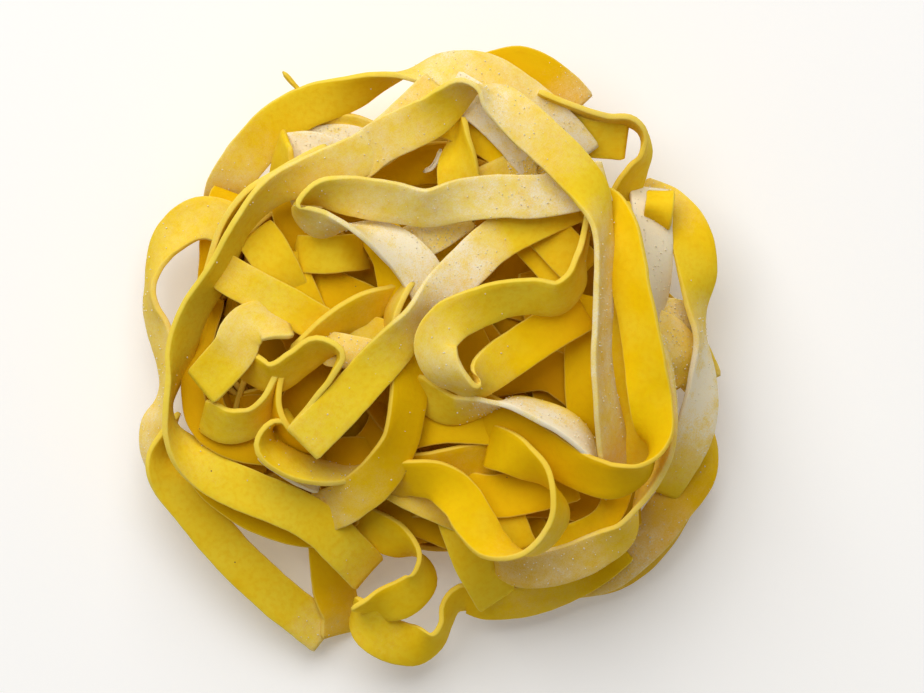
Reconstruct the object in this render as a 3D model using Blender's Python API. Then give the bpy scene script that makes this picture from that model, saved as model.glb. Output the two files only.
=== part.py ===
"""Dry pasta nest: long flat egg ribbons coiled and crossed by hand into a round nest, in metres, +Z up.

The strands that show are swept along their own routes at true width and thickness. They are fused onto
a smaller core, together with a few wall strands that are laid round its side by a rule.
"""

import math
import random

import bpy
import bmesh
from mathutils import Vector, noise

MM = 0.001
RIBBON_THICKNESS = 1.0
SWEEP_STEP = 4.1
CENTRE = (-0.01, -0.52)

CORE_RADII = (35.5, 33.5, 11.5)
CORE_MIDDLE = (-1.0, 1.0, 8.8)
CORE_SECTORS = 28
CORE_RINGS = 12
CORE_UNEVEN = 1.6

WALL_STRANDS = 9
WALL_WIDTH = 7.0
WALL_RADII = (36.0, 34.5)
WALL_SEED = 7

# Each strand: its width in mm, then the points of its route as (x, y, height, lean), in mm and degrees.
# At lean 0 the ribbon lies flat, and a positive lean lifts the edge on the left of the route.
ROUTES = {
    "outer_left": (7.0, (
        (-31, 20.5, 13, 10), (-37, 21.8, 13, 15), (-41.6, 19, 12, 42), (-44.6, 13.8, 11, 72),
        (-45.2, 10, 10.8, 80), (-44.9, 7.4, 10.6, 72), (-43.9, 4.6, 10.4, 60), (-43, 1.4, 10.4, 60),
        (-42.5, -2.2, 10.4, 72), (-42.6, -5.4, 10.4, 80), (-43, -8.2, 10.5, 68), (-44, -11.2, 10.4, 48),
        (-43.8, -14.4, 10, 34), (-42.6, -17.8, 9, 25), (-40, -22.5, 7.5, 5),
    )),
    "front_left": (7.0, (
        (-41, -10.8, 10.2, -86), (-42.5, -13.6, 11.8, -74), (-43.2, -16.6, 12.4, -52),
        (-41.4, -20.6, 12.6, -12), (-38.2, -24.6, 12.3, 4), (-32.7, -31.3, 11, 3), (-25.5, -38.3, 8.5, 0),
        (-20, -42.9, 6, 0), (-16.9, -45.4, 4.4, 0),
    )),
    "left_fold": (6.4, (
        (-34.6, 8, 7.5, 0), (-34.2, 15, 10, -8), (-33.6, 21.5, 11.5, -8), (-32, 26, 11, 0),
    )),
    "outer_back_left": (7.0, (
        (-33.5, 23.5, 5, 0), (-32.3, 27.5, 11, 5), (-28.7, 32.5, 13.5, 8), (-24.3, 37, 15.5, 10),
        (-19, 39.9, 17, 18), (-13, 41.7, 18, 38), (-8.5, 43.6, 18.6, 66), (-4.6, 44.8, 19.8, 92),
        (-0.5, 45.3, 21.3, 128), (4, 45.3, 22.6, 155), (9, 44.4, 23.4, 170), (13.1, 41.9, 24, 180),
        (17.2, 38.8, 24.1, 180), (20.8, 35.4, 23.6, 180), (24.2, 31.2, 22, 180),
    )),
    "stray_end": (0.8, (
        (-19.3, 40.4, 15.5, 0), (-21.4, 42.6, 17, 0), (-23.7, 45.2, 17.6, 0),
    )),
    "long_left": (7.0, (
        (1.6, 42.4, 26, 0), (-3.6, 37.4, 27.3, 0), (-9.6, 32.5, 28.4, -8), (-17.6, 29, 28.9, -24),
        (-25, 26, 28.5, -50), (-30.2, 20.5, 28, -68), (-33.7, 13.5, 26.5, -62), (-37.6, 7, 24.2, -54),
        (-39.9, 0.8, 22.6, -54), (-41.2, -4.6, 21.7, -78), (-42, -8.6, 21.2, -88),
        (-41.4, -12.2, 20.8, -72), (-39.6, -15, 20.6, -45), (-36.9, -17.6, 20.5, -15),
        (-33.5, -20, 20.5, -2), (-27.5, -22.6, 20.5, 0), (-21.5, -25.1, 19.8, 0), (-17, -28, 18.4, 0),
        (-13.2, -31.8, 15.6, -5), (-10, -35.2, 11.4, -8),
    )),
    "left_rim": (7.0, (
        (-36.2, 8, 20, 82), (-34.9, 15, 24, 84), (-33, 20.5, 25.5, 84), (-29.2, 25.2, 26.3, 80),
        (-23.5, 28.6, 25.6, 72), (-17, 31.4, 22.6, 60),
    )),
    "crown": (7.0, (
        (-22.5, 24.8, 23, 0), (-16.5, 27.6, 25.4, 0), (-11.8, 30.8, 27.5, -4), (-7.8, 33.8, 28.9, 0),
        (-3.4, 36, 29.4, 6), (0.2, 37.8, 29.9, 18), (2.8, 40.1, 30.7, 36), (5.6, 42.3, 31.8, 62),
        (8, 42.5, 32.3, 95), (10.7, 40.5, 32.8, 138), (13.8, 37.6, 33.4, 160), (17.6, 34.2, 34.2, 170),
        (21.5, 30.4, 35, 166), (25, 26.2, 35.2, 150), (27.1, 21, 35.2, 118), (27.5, 14, 35, 110),
        (27.2, 6, 34.6, 112), (27.2, -2, 34, 114), (27.9, -8, 32.8, 120), (28.6, -13, 30.6, 128),
        (29.3, -17.5, 27.4, 132), (29.8, -21.5, 24, 135),
    )),
    "back_arch": (7.0, (
        (7, 43.8, 17, 0), (10.6, 45.2, 18.5, 0), (14.2, 45.8, 19.5, 0), (17.8, 44.3, 19.5, 0),
        (20.9, 41.9, 18.8, 0), (23.4, 39.2, 17.4, 0),
    )),
    "back_right_inner": (6.2, (
        (19.6, 36.8, 20.4, 20), (25, 34.6, 20.8, 20), (31.3, 34.1, 19.2, 15),
    )),
    "back_right_rim": (7.0, (
        (17, 41.3, 22.8, 80), (22.5, 39.1, 22.8, 80), (28, 37.4, 21.5, 82), (31.6, 36.9, 20.5, 78),
        (33.8, 35, 19, 95), (34.2, 32.2, 18, 104), (32.9, 29.5, 17, 114), (31.4, 26.6, 16, 124),
        (30.2, 23, 14, 130),
    )),
    "right_inner": (7.0, (
        (24.4, 21.6, 26.4, 0), (27.3, 23.2, 29.6, 10), (29.5, 20.8, 31.4, 26), (30.9, 16, 32.8, 32),
        (31.8, 10.5, 33.6, 32), (32.9, 5, 34, 30), (34.1, -2, 34.2, 20), (35, -8.2, 34, 12),
        (35.5, -12.4, 33.7, 34), (35.3, -15.5, 33.1, 76), (33.5, -18.3, 32.3, 112), (29.2, -20, 31.3, 140),
        (24.3, -18.9, 30, 145), (18.2, -15.2, 28.5, 150), (12.6, -11.6, 27.2, 155), (7.5, -9, 24.5, 160),
    )),
    "right_loop": (7.0, (
        (9.2, -14.6, 24.8, 6), (12, -15.5, 28, 18), (14.8, -17, 29.3, 40), (17.8, -19, 30.2, 68),
        (19.8, -22, 30.7, 95), (20.5, -25.3, 30.7, 112), (18.9, -29.1, 29.8, 108), (14.4, -31.9, 28.7, 88),
        (9.8, -30.3, 28, 42), (7, -26.8, 27.6, 15), (4.6, -23, 27, 0), (1.2, -20.4, 26.2, -25),
        (-3.2, -19.8, 24.6, -38), (-8, -20.5, 21, -38),
    )),
    "right_rim": (7.0, (
        (36.5, 3, 25, -84), (38.3, -4.5, 26, -86), (38.7, -10.8, 26.4, -92), (37.2, -15.8, 26.4, -108),
        (34.9, -20, 26, -112), (32.8, -24, 25.4, -94), (30.8, -28.3, 24.4, -58), (26.5, -31.3, 23.2, -36),
        (20.5, -33.8, 22, -32), (14.6, -34.3, 20.6, -36), (10.2, -32.8, 18.2, -50),
    )),
    "right_side": (7.0, (
        (33.6, 25.2, 9, 0), (38, 23.3, 13.8, -4), (41.3, 19.3, 16.3, -10), (42.6, 13.5, 17.2, -28),
        (42.5, 8, 17.4, -62), (43.1, 3, 17.2, -78), (43.3, -3, 16.7, -58), (43, -8.5, 16, -38),
        (41.6, -13.6, 15, -28), (39.2, -18, 13.5, -25), (36.4, -22, 11, -25),
    )),
    "right_fold": (4.6, (
        (36.1, 20.9, 17.4, -6), (36.3, 21.8, 19.4, -14), (36.5, 23.5, 20.5, -4), (36.7, 25.1, 19.5, -12),
        (36.8, 25.9, 17.6, -6),
    )),
    "right_wedge": (7.0, (
        (35.2, 26.5, 13, -10), (35.4, 22, 18.2, -25), (35.6, 17, 19.6, -32), (35.7, 12, 19.6, -45),
        (35.7, 6.5, 18.6, -62), (36.2, 1, 17, -75),
    )),
    "right_short_a": (6.4, (
        (33.5, 4.5, 15, 0), (38, 5.8, 16.2, 0), (41, 4.6, 15.2, -20), (42.2, 2.4, 14, -40),
    )),
    "right_short_b": (6.4, (
        (33, 4.5, 16.6, 0), (37, 3.6, 17.8, -8), (40.2, 0.2, 17.6, -18), (41.4, -4.5, 15, -30),
    )),
    "right_tip": (7.0, (
        (30.5, 11, 6.5, 0), (35.5, 7.5, 8, 0), (40, 2.5, 9, -5), (42.3, -1.8, 9.3, -10),
        (43.6, -4.8, 9, -10),
    )),
    "front_right": (7.0, (
        (42.2, -10.5, 9, -50), (43.5, -15.5, 9.2, -46), (42.4, -19.9, 9.4, -26), (39.2, -23.7, 9.6, -8),
        (36.1, -28, 9.4, -4), (32.2, -31.9, 8.6, -8), (27.5, -35.2, 7.2, -20), (21.5, -36.5, 6, -30),
    )),
    "front_right_low": (7.0, (
        (40, -25, 5.6, -58), (36.9, -29.9, 5, -58), (33.2, -34, 4.8, -60), (28.6, -36.7, 4.6, -62),
        (23.2, -37.3, 4.6, -62), (17, -37.2, 5, -60),
    )),
    "front_loop": (7.0, (
        (-12.4, -40.4, 10, 72), (-11.3, -42.3, 10.8, 48), (-9.2, -44.4, 10.8, 12), (-5.8, -46.2, 9.6, 6),
        (-2.2, -46.9, 8.6, 28), (0.7, -46.1, 8.4, 66), (2.3, -43.4, 8.6, 78), (3.2, -40.6, 8.9, 66),
        (5.2, -39.2, 9.2, 52), (8.6, -40, 9, 45), (12.8, -40, 8.6, 46), (17.5, -38.9, 8.6, 42),
        (22.2, -36.6, 9.2, 30), (26.3, -33.8, 9.8, 16), (30.3, -30.4, 10.4, 5),
    )),
    "left_under": (7.0, (
        (-38, -14.5, 13, 0), (-34.6, -20.2, 14.8, 0), (-30, -23.9, 15.2, 0), (-24.4, -26.6, 14.8, 0),
        (-18.5, -27.6, 13.6, 0), (-13, -26.6, 12, 0),
    )),
    "front_left_drop": (7.0, (
        (-16.4, -27, 14, 0), (-16.1, -33, 11, 0), (-15.5, -38, 7.4, -12), (-14.6, -42, 4.6, -34),
        (-15.2, -45.2, 3, -48),
    )),
    "front_hook": (7.0, (
        (-14, -26.6, 11.6, 20), (-9.6, -28, 13.6, 30), (-5.3, -30, 14.4, 44), (-1.7, -32.5, 14.4, 92),
        (-1.3, -36.2, 14.2, 130), (-4.2, -39, 14, 148), (-7.4, -40.1, 13.8, 140), (-9.8, -40.8, 13.4, 116),
        (-11.8, -41.2, 12.8, 98),
    )),
    "front_under": (6.0, (
        (-12, -22.8, 11.5, 0), (-6, -24.6, 13, 10), (0.4, -27.2, 13.4, 10), (7, -30, 12.4, 0),
    )),
    "middle_drop": (7.0, (
        (-2.2, 3.5, 27.5, -30), (-3.3, -2.5, 29, -36), (-3.7, -8, 29, -38), (-4.9, -13.6, 28, -34),
        (-8, -19, 26, -22), (-12.4, -22.9, 22.5, -10), (-18, -25.6, 16, 0),
    )),
    "front_middle": (7.0, (
        (-9, -17.5, 18, 0), (-4.4, -20.8, 20.2, 0), (0.6, -23.2, 20.4, 0), (6, -25.5, 18, 0),
    )),
    "front_slope": (7.0, (
        (2.2, -20.5, 17, 10), (4.6, -27, 18.8, 10), (6.3, -31.6, 18, 8), (8.4, -35.6, 15.6, 2),
        (10.6, -39.4, 11, -5),
    )),
    "diagonal": (7.0, (
        (26, 25.4, 25, 0), (19.5, 22.9, 28, 0), (14.2, 20.4, 29.6, 0), (9.9, 17.8, 30.6, 0),
        (6.2, 14.3, 31.6, 0), (2.2, 10.5, 32.4, -18), (-2, 6.3, 33, -56), (-5.4, 1.7, 33, -30),
        (-9.6, -3, 32.3, -6), (-14.4, -8.3, 31.3, 0), (-20.5, -14.4, 30, 0),
    )),
    "pretzel": (7.0, (
        (25.2, 26, 28, -84), (25.2, 22.5, 29.4, -84), (24.6, 19.2, 30.4, -84), (23.8, 15.2, 31.6, -80),
        (23, 11.6, 32.6, -62), (20.2, 8.8, 33.3, -44), (16.2, 9.2, 34, -36), (11.4, 8.7, 34.8, -34),
        (6.8, 7, 35.6, -24), (2.9, 5, 36, -6), (0.8, 1.8, 36, 6), (1.5, -1.4, 35.7, 26),
        (3.8, -4.1, 34.7, 56), (6.6, -5.6, 33.3, 72), (8.8, -3.2, 32, 28), (11.6, -0.9, 31.1, 12),
        (15, 1.4, 30.4, 6), (19, 4, 29.6, 0), (24.5, 7.2, 28, 0),
    )),
    "hairpin": (7.0, (
        (28, 27.5, 31.4, 0), (22.5, 26, 32.2, 0), (16.5, 25, 32.4, 0), (10.5, 25, 32.3, 0),
        (5, 24.5, 32, -12), (-0.5, 23.2, 31.6, -34), (-6.5, 24.2, 31.6, -26), (-12.5, 25.1, 31.7, -30),
        (-18.2, 25.4, 31.7, -62), (-21.2, 23.6, 31.6, -95), (-17.9, 20.8, 31.2, -125),
        (-12.8, 20.1, 30.8, -88), (-8, 18.7, 30.5, -48), (-3.8, 15.6, 30, -24), (-0.8, 11.6, 29, -14),
        (1.6, 5.6, 26.2, -4),
    )),
    "back_inner": (7.0, (
        (1.5, 38.4, 24.6, 0), (7.4, 35.8, 26, 0), (12.6, 32.4, 26.2, 0), (17, 28.4, 25, 0),
    )),
    "back_inner_pale": (6.4, (
        (3, 42.5, 26.5, 0), (8, 39.4, 27.4, 0), (12.6, 35.2, 27.6, 0), (17, 30, 26.4, 0),
    )),
    "back_spike": (7.0, (
        (4.8, 36.9, 26.4, 84), (4.5, 34, 27.2, 62), (4.3, 30.2, 27.8, 28), (4.6, 26, 27, 10),
    )),
    "back_deep": (7.0, (
        (-15, 20.5, 15.5, 10), (-11.5, 25.7, 18.5, 22), (-6, 29.3, 20, 30), (0.5, 30.6, 20, 25),
        (6.5, 30, 19, 10),
    )),
    "back_shelf": (5.2, (
        (12.6, 24, 24.4, 0), (10.9, 27.4, 25.8, 0), (9.4, 30.6, 26.6, 0),
    )),
    "back_shelf_b": (4.6, (
        (15.6, 23.5, 24.2, 0), (14.9, 27.4, 26, 0), (14.2, 31.4, 27, 0),
    )),
    "back_left_curl": (7.0, (
        (-24.2, 22, 11, -50), (-23.9, 26.4, 14.8, -55), (-23.5, 30.6, 18, -60), (-22.9, 34.5, 20, -76),
    )),
    "back_left_pale": (6.6, (
        (-23.2, 32.2, 17.6, 0), (-18.8, 32.4, 18.8, 8), (-14.4, 30.6, 18.2, 10), (-10, 27.6, 16, 0),
    )),
    "back_left_floured": (6.0, (
        (-21, 32.8, 14, 0), (-16, 33.8, 15.4, 0), (-11, 33.3, 15.6, 0), (-6, 31, 14.6, 0),
    )),
    "back_left_shade": (5.0, (
        (-18.6, 35.2, 13.2, 25), (-14.2, 36.4, 14.8, 30), (-9.6, 34.9, 15, 25), (-5.6, 32, 14, 10),
    )),
    "left_box": (6.0, (
        (-21.6, 16, 18.5, 0), (-20, 15.9, 24, 0), (-17.4, 15.8, 25.4, 0), (-14.2, 16, 25.8, 0),
        (-11.8, 16.2, 24, 0), (-10.8, 16.4, 20, 0),
    )),
    "left_tongue": (6.2, (
        (-33.3, 13.2, 25.5, 0), (-29.8, 11.2, 26.8, 0), (-25, 8.7, 27, 0), (-20, 6, 26.6, 0),
        (-13.5, 2, 24, 0),
    )),
    "left_drape": (7.0, (
        (-22.4, 4.4, 27.6, 66), (-25.3, 5, 28.5, 48), (-28.2, 5, 29, 20), (-30.1, 3.4, 29.3, 4),
        (-31.2, 0.8, 29.2, 0), (-33.5, -2, 28.3, 6), (-36.6, -5.4, 26.2, 18),
    )),
    "left_ridge": (7.0, (
        (-31.4, 1, 23.4, 44), (-28.6, -2, 26, 50), (-24.8, -3.5, 28, 50), (-21, -1.2, 29, 54),
        (-17.6, 0.9, 30.2, 58), (-14.6, 0.2, 30.5, 82), (-15.6, -3.6, 29.5, 95), (-18.2, -7.5, 28, 100),
        (-21, -11, 26, 100),
    )),
    "left_ridge_flat": (5.6, (
        (-16.8, 1, 27, 0), (-12, 0.1, 28.2, 0), (-6.5, -1, 28.3, 0),
    )),
    "left_hook": (7.0, (
        (-36.4, -9.6, 23.5, 46), (-32.6, -11.4, 24.4, 42), (-28.4, -10.6, 25, 50), (-25.8, -7.6, 25.6, 72),
        (-24.6, -4.2, 25.4, 84), (-23.4, -1.6, 24, 84),
    )),
    "left_wall": (7.0, (
        (-22.5, 0, 22.6, 70), (-24.4, -3.6, 25, 78), (-24.9, -8, 25.4, 78), (-23.2, -12.4, 24.6, 70),
        (-19, -15.6, 22, 60),
    )),
    "left_curl": (7.0, (
        (-21.8, -10.6, 24, 55), (-25.4, -11.2, 25.5, 92), (-26.3, -14.2, 25.8, 118),
        (-22.8, -17.3, 25, 128), (-18, -18.6, 23.4, 122), (-13.4, -18.6, 20.4, 112),
        (-8.5, -16.8, 17, 100),
    )),
    "dusted_edge": (7.0, (
        (-2.5, -5.4, 26.5, 48), (3.5, -8.9, 28, 50), (8.5, -8.3, 28.8, 70), (13, -7.7, 29.4, 100),
        (18, -9.4, 29.8, 116), (21.9, -11.4, 29.7, 120), (24.9, -14.2, 28.8, 112), (26.5, -17, 27, 96),
    )),
    "middle_shelf": (7.0, (
        (-6, -12.6, 22, 0), (0, -11, 24, 0), (6.5, -10.8, 25, 0), (13, -11.5, 24.8, 0),
    )),
    "middle_ledge": (7.0, (
        (-6, -20, 20, 20), (0.5, -18.6, 22.2, 30), (6.5, -17.4, 22.8, 30), (13, -17.2, 22, 20),
    )),
    "centre_wall": (7.0, (
        (-8.5, 20, 22, 10), (-6, 15, 26.2, 22), (-5.2, 10.6, 27, 26), (-4.8, 6, 25.6, 20),
    )),
    "centre_arch": (7.0, (
        (-20.4, -0.4, 25.5, 45), (-15.8, 3.9, 27.2, 50), (-10.8, 7, 27.6, 46), (-5.5, 8.6, 24.4, 40),
    )),
    "left_deep_a": (7.0, (
        (-28.2, 19.6, 23.6, 0), (-26.4, 17, 24.8, 0), (-24.4, 13.6, 25, 0), (-22.6, 9.6, 23.4, 0),
        (-20.6, 4, 18, 0),
    )),
    "left_deep_c": (7.0, (
        (-20.5, 13.6, 20.6, 0), (-15.6, 10, 22.4, 0), (-10.5, 7.6, 22.5, 0), (-6, 5, 22, 0),
    )),
    "right_deep_b": (7.0, (
        (15.6, 22.4, 25, 0), (20, 17.8, 27.2, 0), (24.6, 13, 26.6, 0),
    )),
    "right_deep_c": (7.0, (
        (26.5, 9, 24, 0), (24.9, 2, 24.6, 10), (24.7, -5, 24.4, 10), (25.6, -12, 22, 0),
        (26.2, -17.5, 11, 0),
    )),
    "front_deep_a": (4.4, (
        (30.6, -18.5, 20.5, 0), (29.7, -22.6, 22, 0), (27.9, -26.2, 22.4, 0), (24.2, -28.6, 21, 0),
        (19, -29.4, 17, 0), (14, -26.5, 12.5, 0),
    )),
    "front_deep_c": (7.0, (
        (4, -22, 21, 0), (10.6, -22.7, 23.4, 0), (16.6, -21.6, 23.6, 0), (23, -20, 21.6, 0),
    )),
    "centre_rim": (6.4, (
        (-2.6, 13, 26, 78), (-4.8, 9.6, 28, 76), (-6.2, 6.4, 28.3, 74), (-6.6, 3, 27.2, 74),
    )),
    "centre_bridge": (6.0, (
        (5.4, 22.6, 25, 0), (1.2, 19.6, 26.4, 0), (-3.2, 17.4, 26, 0), (-8, 16, 24, 0),
    )),
}


def clear_scene():
    for obj in list(bpy.data.objects):
        bpy.data.objects.remove(obj, do_unlink=True)


def new_collection(name, hidden=False):
    collection = bpy.data.collections.new(name)
    bpy.context.scene.collection.children.link(collection)
    collection.hide_render = hidden
    return collection


def dough_material():
    material = bpy.data.materials.new("egg_pasta")
    material.use_nodes = True
    shader = material.node_tree.nodes["Principled BSDF"]
    shader.inputs["Base Color"].default_value = (0.78, 0.56, 0.08, 1.0)
    shader.inputs["Roughness"].default_value = 0.62
    return material


def smooth_route(points, step):
    """The route as evenly spaced rows of (x, y, height, lean), on a smooth curve through its points."""
    rows = [Vector(point) for point in points]
    marks = [0.0]
    for first, second in zip(rows, rows[1:]):
        marks.append(marks[-1] + (second.xyz - first.xyz).length)
    slopes = []
    for i in range(len(rows)):
        before = max(i - 1, 0)
        after = min(i + 1, len(rows) - 1)
        if before == i or after == i:
            slopes.append((rows[after] - rows[before]) / (marks[after] - marks[before]))
            continue
        back = (rows[i] - rows[before]) / (marks[i] - marks[before])
        ahead = (rows[after] - rows[i]) / (marks[after] - marks[i])
        share = (marks[after] - marks[i]) / (marks[after] - marks[before])
        slopes.append(back * share + ahead * (1.0 - share))
    count = max(3, round(marks[-1] / step) + 1)
    samples = []
    span = 0
    for k in range(count):
        at = marks[-1] * k / (count - 1)
        while span < len(rows) - 2 and at > marks[span + 1]:
            span += 1
        run = marks[span + 1] - marks[span]
        u = (at - marks[span]) / run
        samples.append(
            rows[span] * (2 * u**3 - 3 * u**2 + 1)
            + slopes[span] * run * (u**3 - 2 * u**2 + u)
            + rows[span + 1] * (3 * u**2 - 2 * u**3)
            + slopes[span + 1] * run * (u**3 - u**2)
        )
    return samples


def section_curve(width, thickness, collection):
    """A closed rectangle across a ribbon, used as the bevel of its route."""
    data = bpy.data.curves.new("section", "CURVE")
    data.dimensions = "2D"
    spline = data.splines.new("POLY")
    spline.points.add(3)
    corners = ((-1, -1), (1, -1), (1, 1), (-1, 1))
    for point, (across, up) in zip(spline.points, corners):
        point.co = (across * width * MM / 2, up * thickness * MM / 2, 0.0, 1.0)
    spline.use_cyclic_u = True
    section = bpy.data.objects.new("section", data)
    section.hide_render = True
    section.display_type = "WIRE"
    collection.objects.link(section)
    return section


def ribbon(name, width, points, helpers):
    """One strand as a mesh object: its section swept along its route and turned by its lean."""
    data = bpy.data.curves.new(name, "CURVE")
    data.dimensions = "3D"
    data.twist_mode = "Z_UP"
    data.bevel_mode = "OBJECT"
    data.bevel_object = section_curve(width, RIBBON_THICKNESS, helpers)
    data.use_fill_caps = True
    samples = smooth_route(points, SWEEP_STEP)
    spline = data.splines.new("POLY")
    spline.points.add(len(samples) - 1)
    for point, (x, y, height, lean) in zip(spline.points, samples):
        point.co = ((x - CENTRE[0]) * MM, (y - CENTRE[1]) * MM, height * MM, 1.0)
        point.tilt = math.radians(lean)
    sweep = bpy.data.objects.new(name, data)
    helpers.objects.link(sweep)
    bpy.context.view_layer.update()
    graph = bpy.context.evaluated_depsgraph_get()
    mesh = bpy.data.meshes.new_from_object(sweep.evaluated_get(graph))
    strand = bpy.data.objects.new(f"{name}_strand", mesh)
    helpers.objects.link(strand)
    bpy.data.objects.remove(data.bevel_object, do_unlink=True)
    bpy.data.objects.remove(sweep, do_unlink=True)
    weld(mesh)
    return strand


def weld(mesh):
    """Joins the caps of a sweep to its sides, and turns every face outwards."""
    shape = bmesh.new()
    shape.from_mesh(mesh)
    bmesh.ops.remove_doubles(shape, verts=shape.verts, dist=1e-6)
    bmesh.ops.recalc_face_normals(shape, faces=shape.faces)
    shape.to_mesh(mesh)
    shape.free()


def wall_routes():
    """Routes of the strands wound round the side of the core, low down and nearly on edge."""
    draw = random.Random(WALL_SEED)
    routes = []
    for k in range(WALL_STRANDS):
        start = 2 * math.pi * (k + draw.uniform(0.0, 0.6)) / WALL_STRANDS
        sweep = draw.uniform(1.3, 2.1)
        low = draw.uniform(3.9, 7.0)
        rise = draw.uniform(3.0, 9.0)
        lean = draw.uniform(-100.0, -72.0)
        points = []
        for step in range(7):
            part = step / 6
            angle = start + sweep * part
            inset = 1.0 - 0.05 * math.sin(3.1 * angle + k) - 0.16 * (2 * part - 1) ** 4
            points.append(
                (
                    CORE_MIDDLE[0] + WALL_RADII[0] * inset * math.cos(angle),
                    CORE_MIDDLE[1] + WALL_RADII[1] * inset * math.sin(angle),
                    low + rise * part,
                    lean + 14.0 * math.sin(2.3 * angle),
                )
            )
        routes.append(points)
    return routes


def build_core(collection):
    """The packed inner heap: a squashed ball with an uneven side, flat where it rests."""
    shape = bmesh.new()
    bmesh.ops.create_uvsphere(shape, u_segments=CORE_SECTORS, v_segments=CORE_RINGS, radius=1.0)
    for vert in shape.verts:
        bump = 1.0 + CORE_UNEVEN / CORE_RADII[0] * noise.noise(vert.co * 2.3)
        place = [CORE_MIDDLE[i] + CORE_RADII[i] * vert.co[i] * bump for i in range(3)]
        vert.co = (
            (place[0] - CENTRE[0]) * MM,
            (place[1] - CENTRE[1]) * MM,
            max(place[2], 0.0) * MM,
        )
    bmesh.ops.recalc_face_normals(shape, faces=shape.faces)
    mesh = bpy.data.meshes.new("pasta_nest")
    shape.to_mesh(mesh)
    shape.free()
    core = bpy.data.objects.new("pasta_nest", mesh)
    collection.objects.link(core)
    return core


def fuse(core, strands):
    """Joins the strands to the core in one union, then clears the strands away."""
    union = core.modifiers.new("join_strands", "BOOLEAN")
    union.operation = "UNION"
    union.operand_type = "COLLECTION"
    union.collection = strands
    union.solver = "MANIFOLD"
    bpy.context.view_layer.update()
    graph = bpy.context.evaluated_depsgraph_get()
    joined = bpy.data.meshes.new_from_object(core.evaluated_get(graph))
    core.modifiers.clear()
    core.data = joined
    for strand in list(strands.objects):
        bpy.data.objects.remove(strand, do_unlink=True)


def islands(shape):
    """The connected groups of faces of a mesh."""
    left = set(shape.faces)
    groups = []
    while left:
        stack = [left.pop()]
        group = list(stack)
        while stack:
            for edge in stack.pop().edges:
                for other in edge.link_faces:
                    if other in left:
                        left.remove(other)
                        stack.append(other)
                        group.append(other)
        groups.append(group)
    return groups


def signed_volume(faces):
    total = 0.0
    for face in faces:
        corners = [vert.co for vert in face.verts]
        for second, third in zip(corners[1:], corners[2:]):
            total += corners[0].dot(second.cross(third)) / 6.0
    return total


def keep_outer_skin(mesh):
    """Keeps the nest's outer surface: sealed hollows are filled and loose scraps dropped."""
    shape = bmesh.new()
    shape.from_mesh(mesh)
    bmesh.ops.triangulate(shape, faces=shape.faces)
    groups = sorted(islands(shape), key=signed_volume)
    spare = [face for group in groups[:-1] for face in group]
    bmesh.ops.delete(shape, geom=spare, context="FACES")
    shape.to_mesh(mesh)
    shape.free()


def main():
    clear_scene()
    nest = new_collection("dry_pasta_nest")
    helpers = new_collection("strands", hidden=True)
    core = build_core(nest)
    for name, (width, points) in ROUTES.items():
        ribbon(name, width, points, helpers)
    for k, points in enumerate(wall_routes()):
        ribbon(f"wall_{k}", WALL_WIDTH, points, helpers)
    fuse(core, helpers)
    keep_outer_skin(core.data)
    core.data.materials.clear()
    core.data.materials.append(dough_material())
    bpy.data.collections.remove(helpers)


main()
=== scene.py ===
"""Looks of the dry pasta nest: uneven, flour-dusted egg ribbons wound over a packed heart."""

import logging
import math
import random
from dataclasses import dataclass
from enum import Enum

import bpy
import numpy as np
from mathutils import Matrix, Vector, noise


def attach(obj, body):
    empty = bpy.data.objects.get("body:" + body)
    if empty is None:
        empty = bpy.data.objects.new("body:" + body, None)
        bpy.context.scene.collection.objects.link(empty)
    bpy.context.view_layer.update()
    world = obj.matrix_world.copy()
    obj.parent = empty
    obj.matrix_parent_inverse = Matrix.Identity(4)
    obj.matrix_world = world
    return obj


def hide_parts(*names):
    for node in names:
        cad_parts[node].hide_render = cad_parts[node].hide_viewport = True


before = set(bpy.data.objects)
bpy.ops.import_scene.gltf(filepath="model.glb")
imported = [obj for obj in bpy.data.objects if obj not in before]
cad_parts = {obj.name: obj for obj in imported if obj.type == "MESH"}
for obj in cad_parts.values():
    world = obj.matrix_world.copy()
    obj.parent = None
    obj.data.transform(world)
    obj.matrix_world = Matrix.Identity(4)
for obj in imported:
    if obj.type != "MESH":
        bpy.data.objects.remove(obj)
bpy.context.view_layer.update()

MM = 0.001
CENTRE = (-0.01, -0.52)
LOG = logging.getLogger("dry_pasta_nest")


class Layer(Enum):
    """Where a strand lies in the nest."""

    RING = "ring"
    CROWN = "crown"


@dataclass(frozen=True)
class Strand:
    """One ribbon: its width in mm and its route as (x, y, height, lean) in mm and degrees.

    At lean 0 the ribbon lies flat, and a positive lean lifts the edge on the left of the route. The flour and
    tone values are spread evenly along the route. The flour value is partly real flour dust and partly
    painted sheen, a whitening of faces that would catch the window light. Tone runs from pale dough, 0, over
    deep
    dough, 1, to painted shade, 2: above 1 the dough is darkened as if it lay in the shadow of deep folds.
    """

    name: str
    width: float
    points: tuple
    # Flour is real flour dust and also painted sheen on faces the window light would catch.
    flour_and_sheen: tuple = (0.0,)
    # Tone up to 1 runs from pale to deep dough; above 1 it is painted shade.
    tone: tuple = (0.5,)
    edge_flour: float = 0.0
    layer: Layer = Layer.CROWN


# Flour values also paint sheen where window light would catch; tone values above 1 paint shade on deep
# strands.
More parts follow.
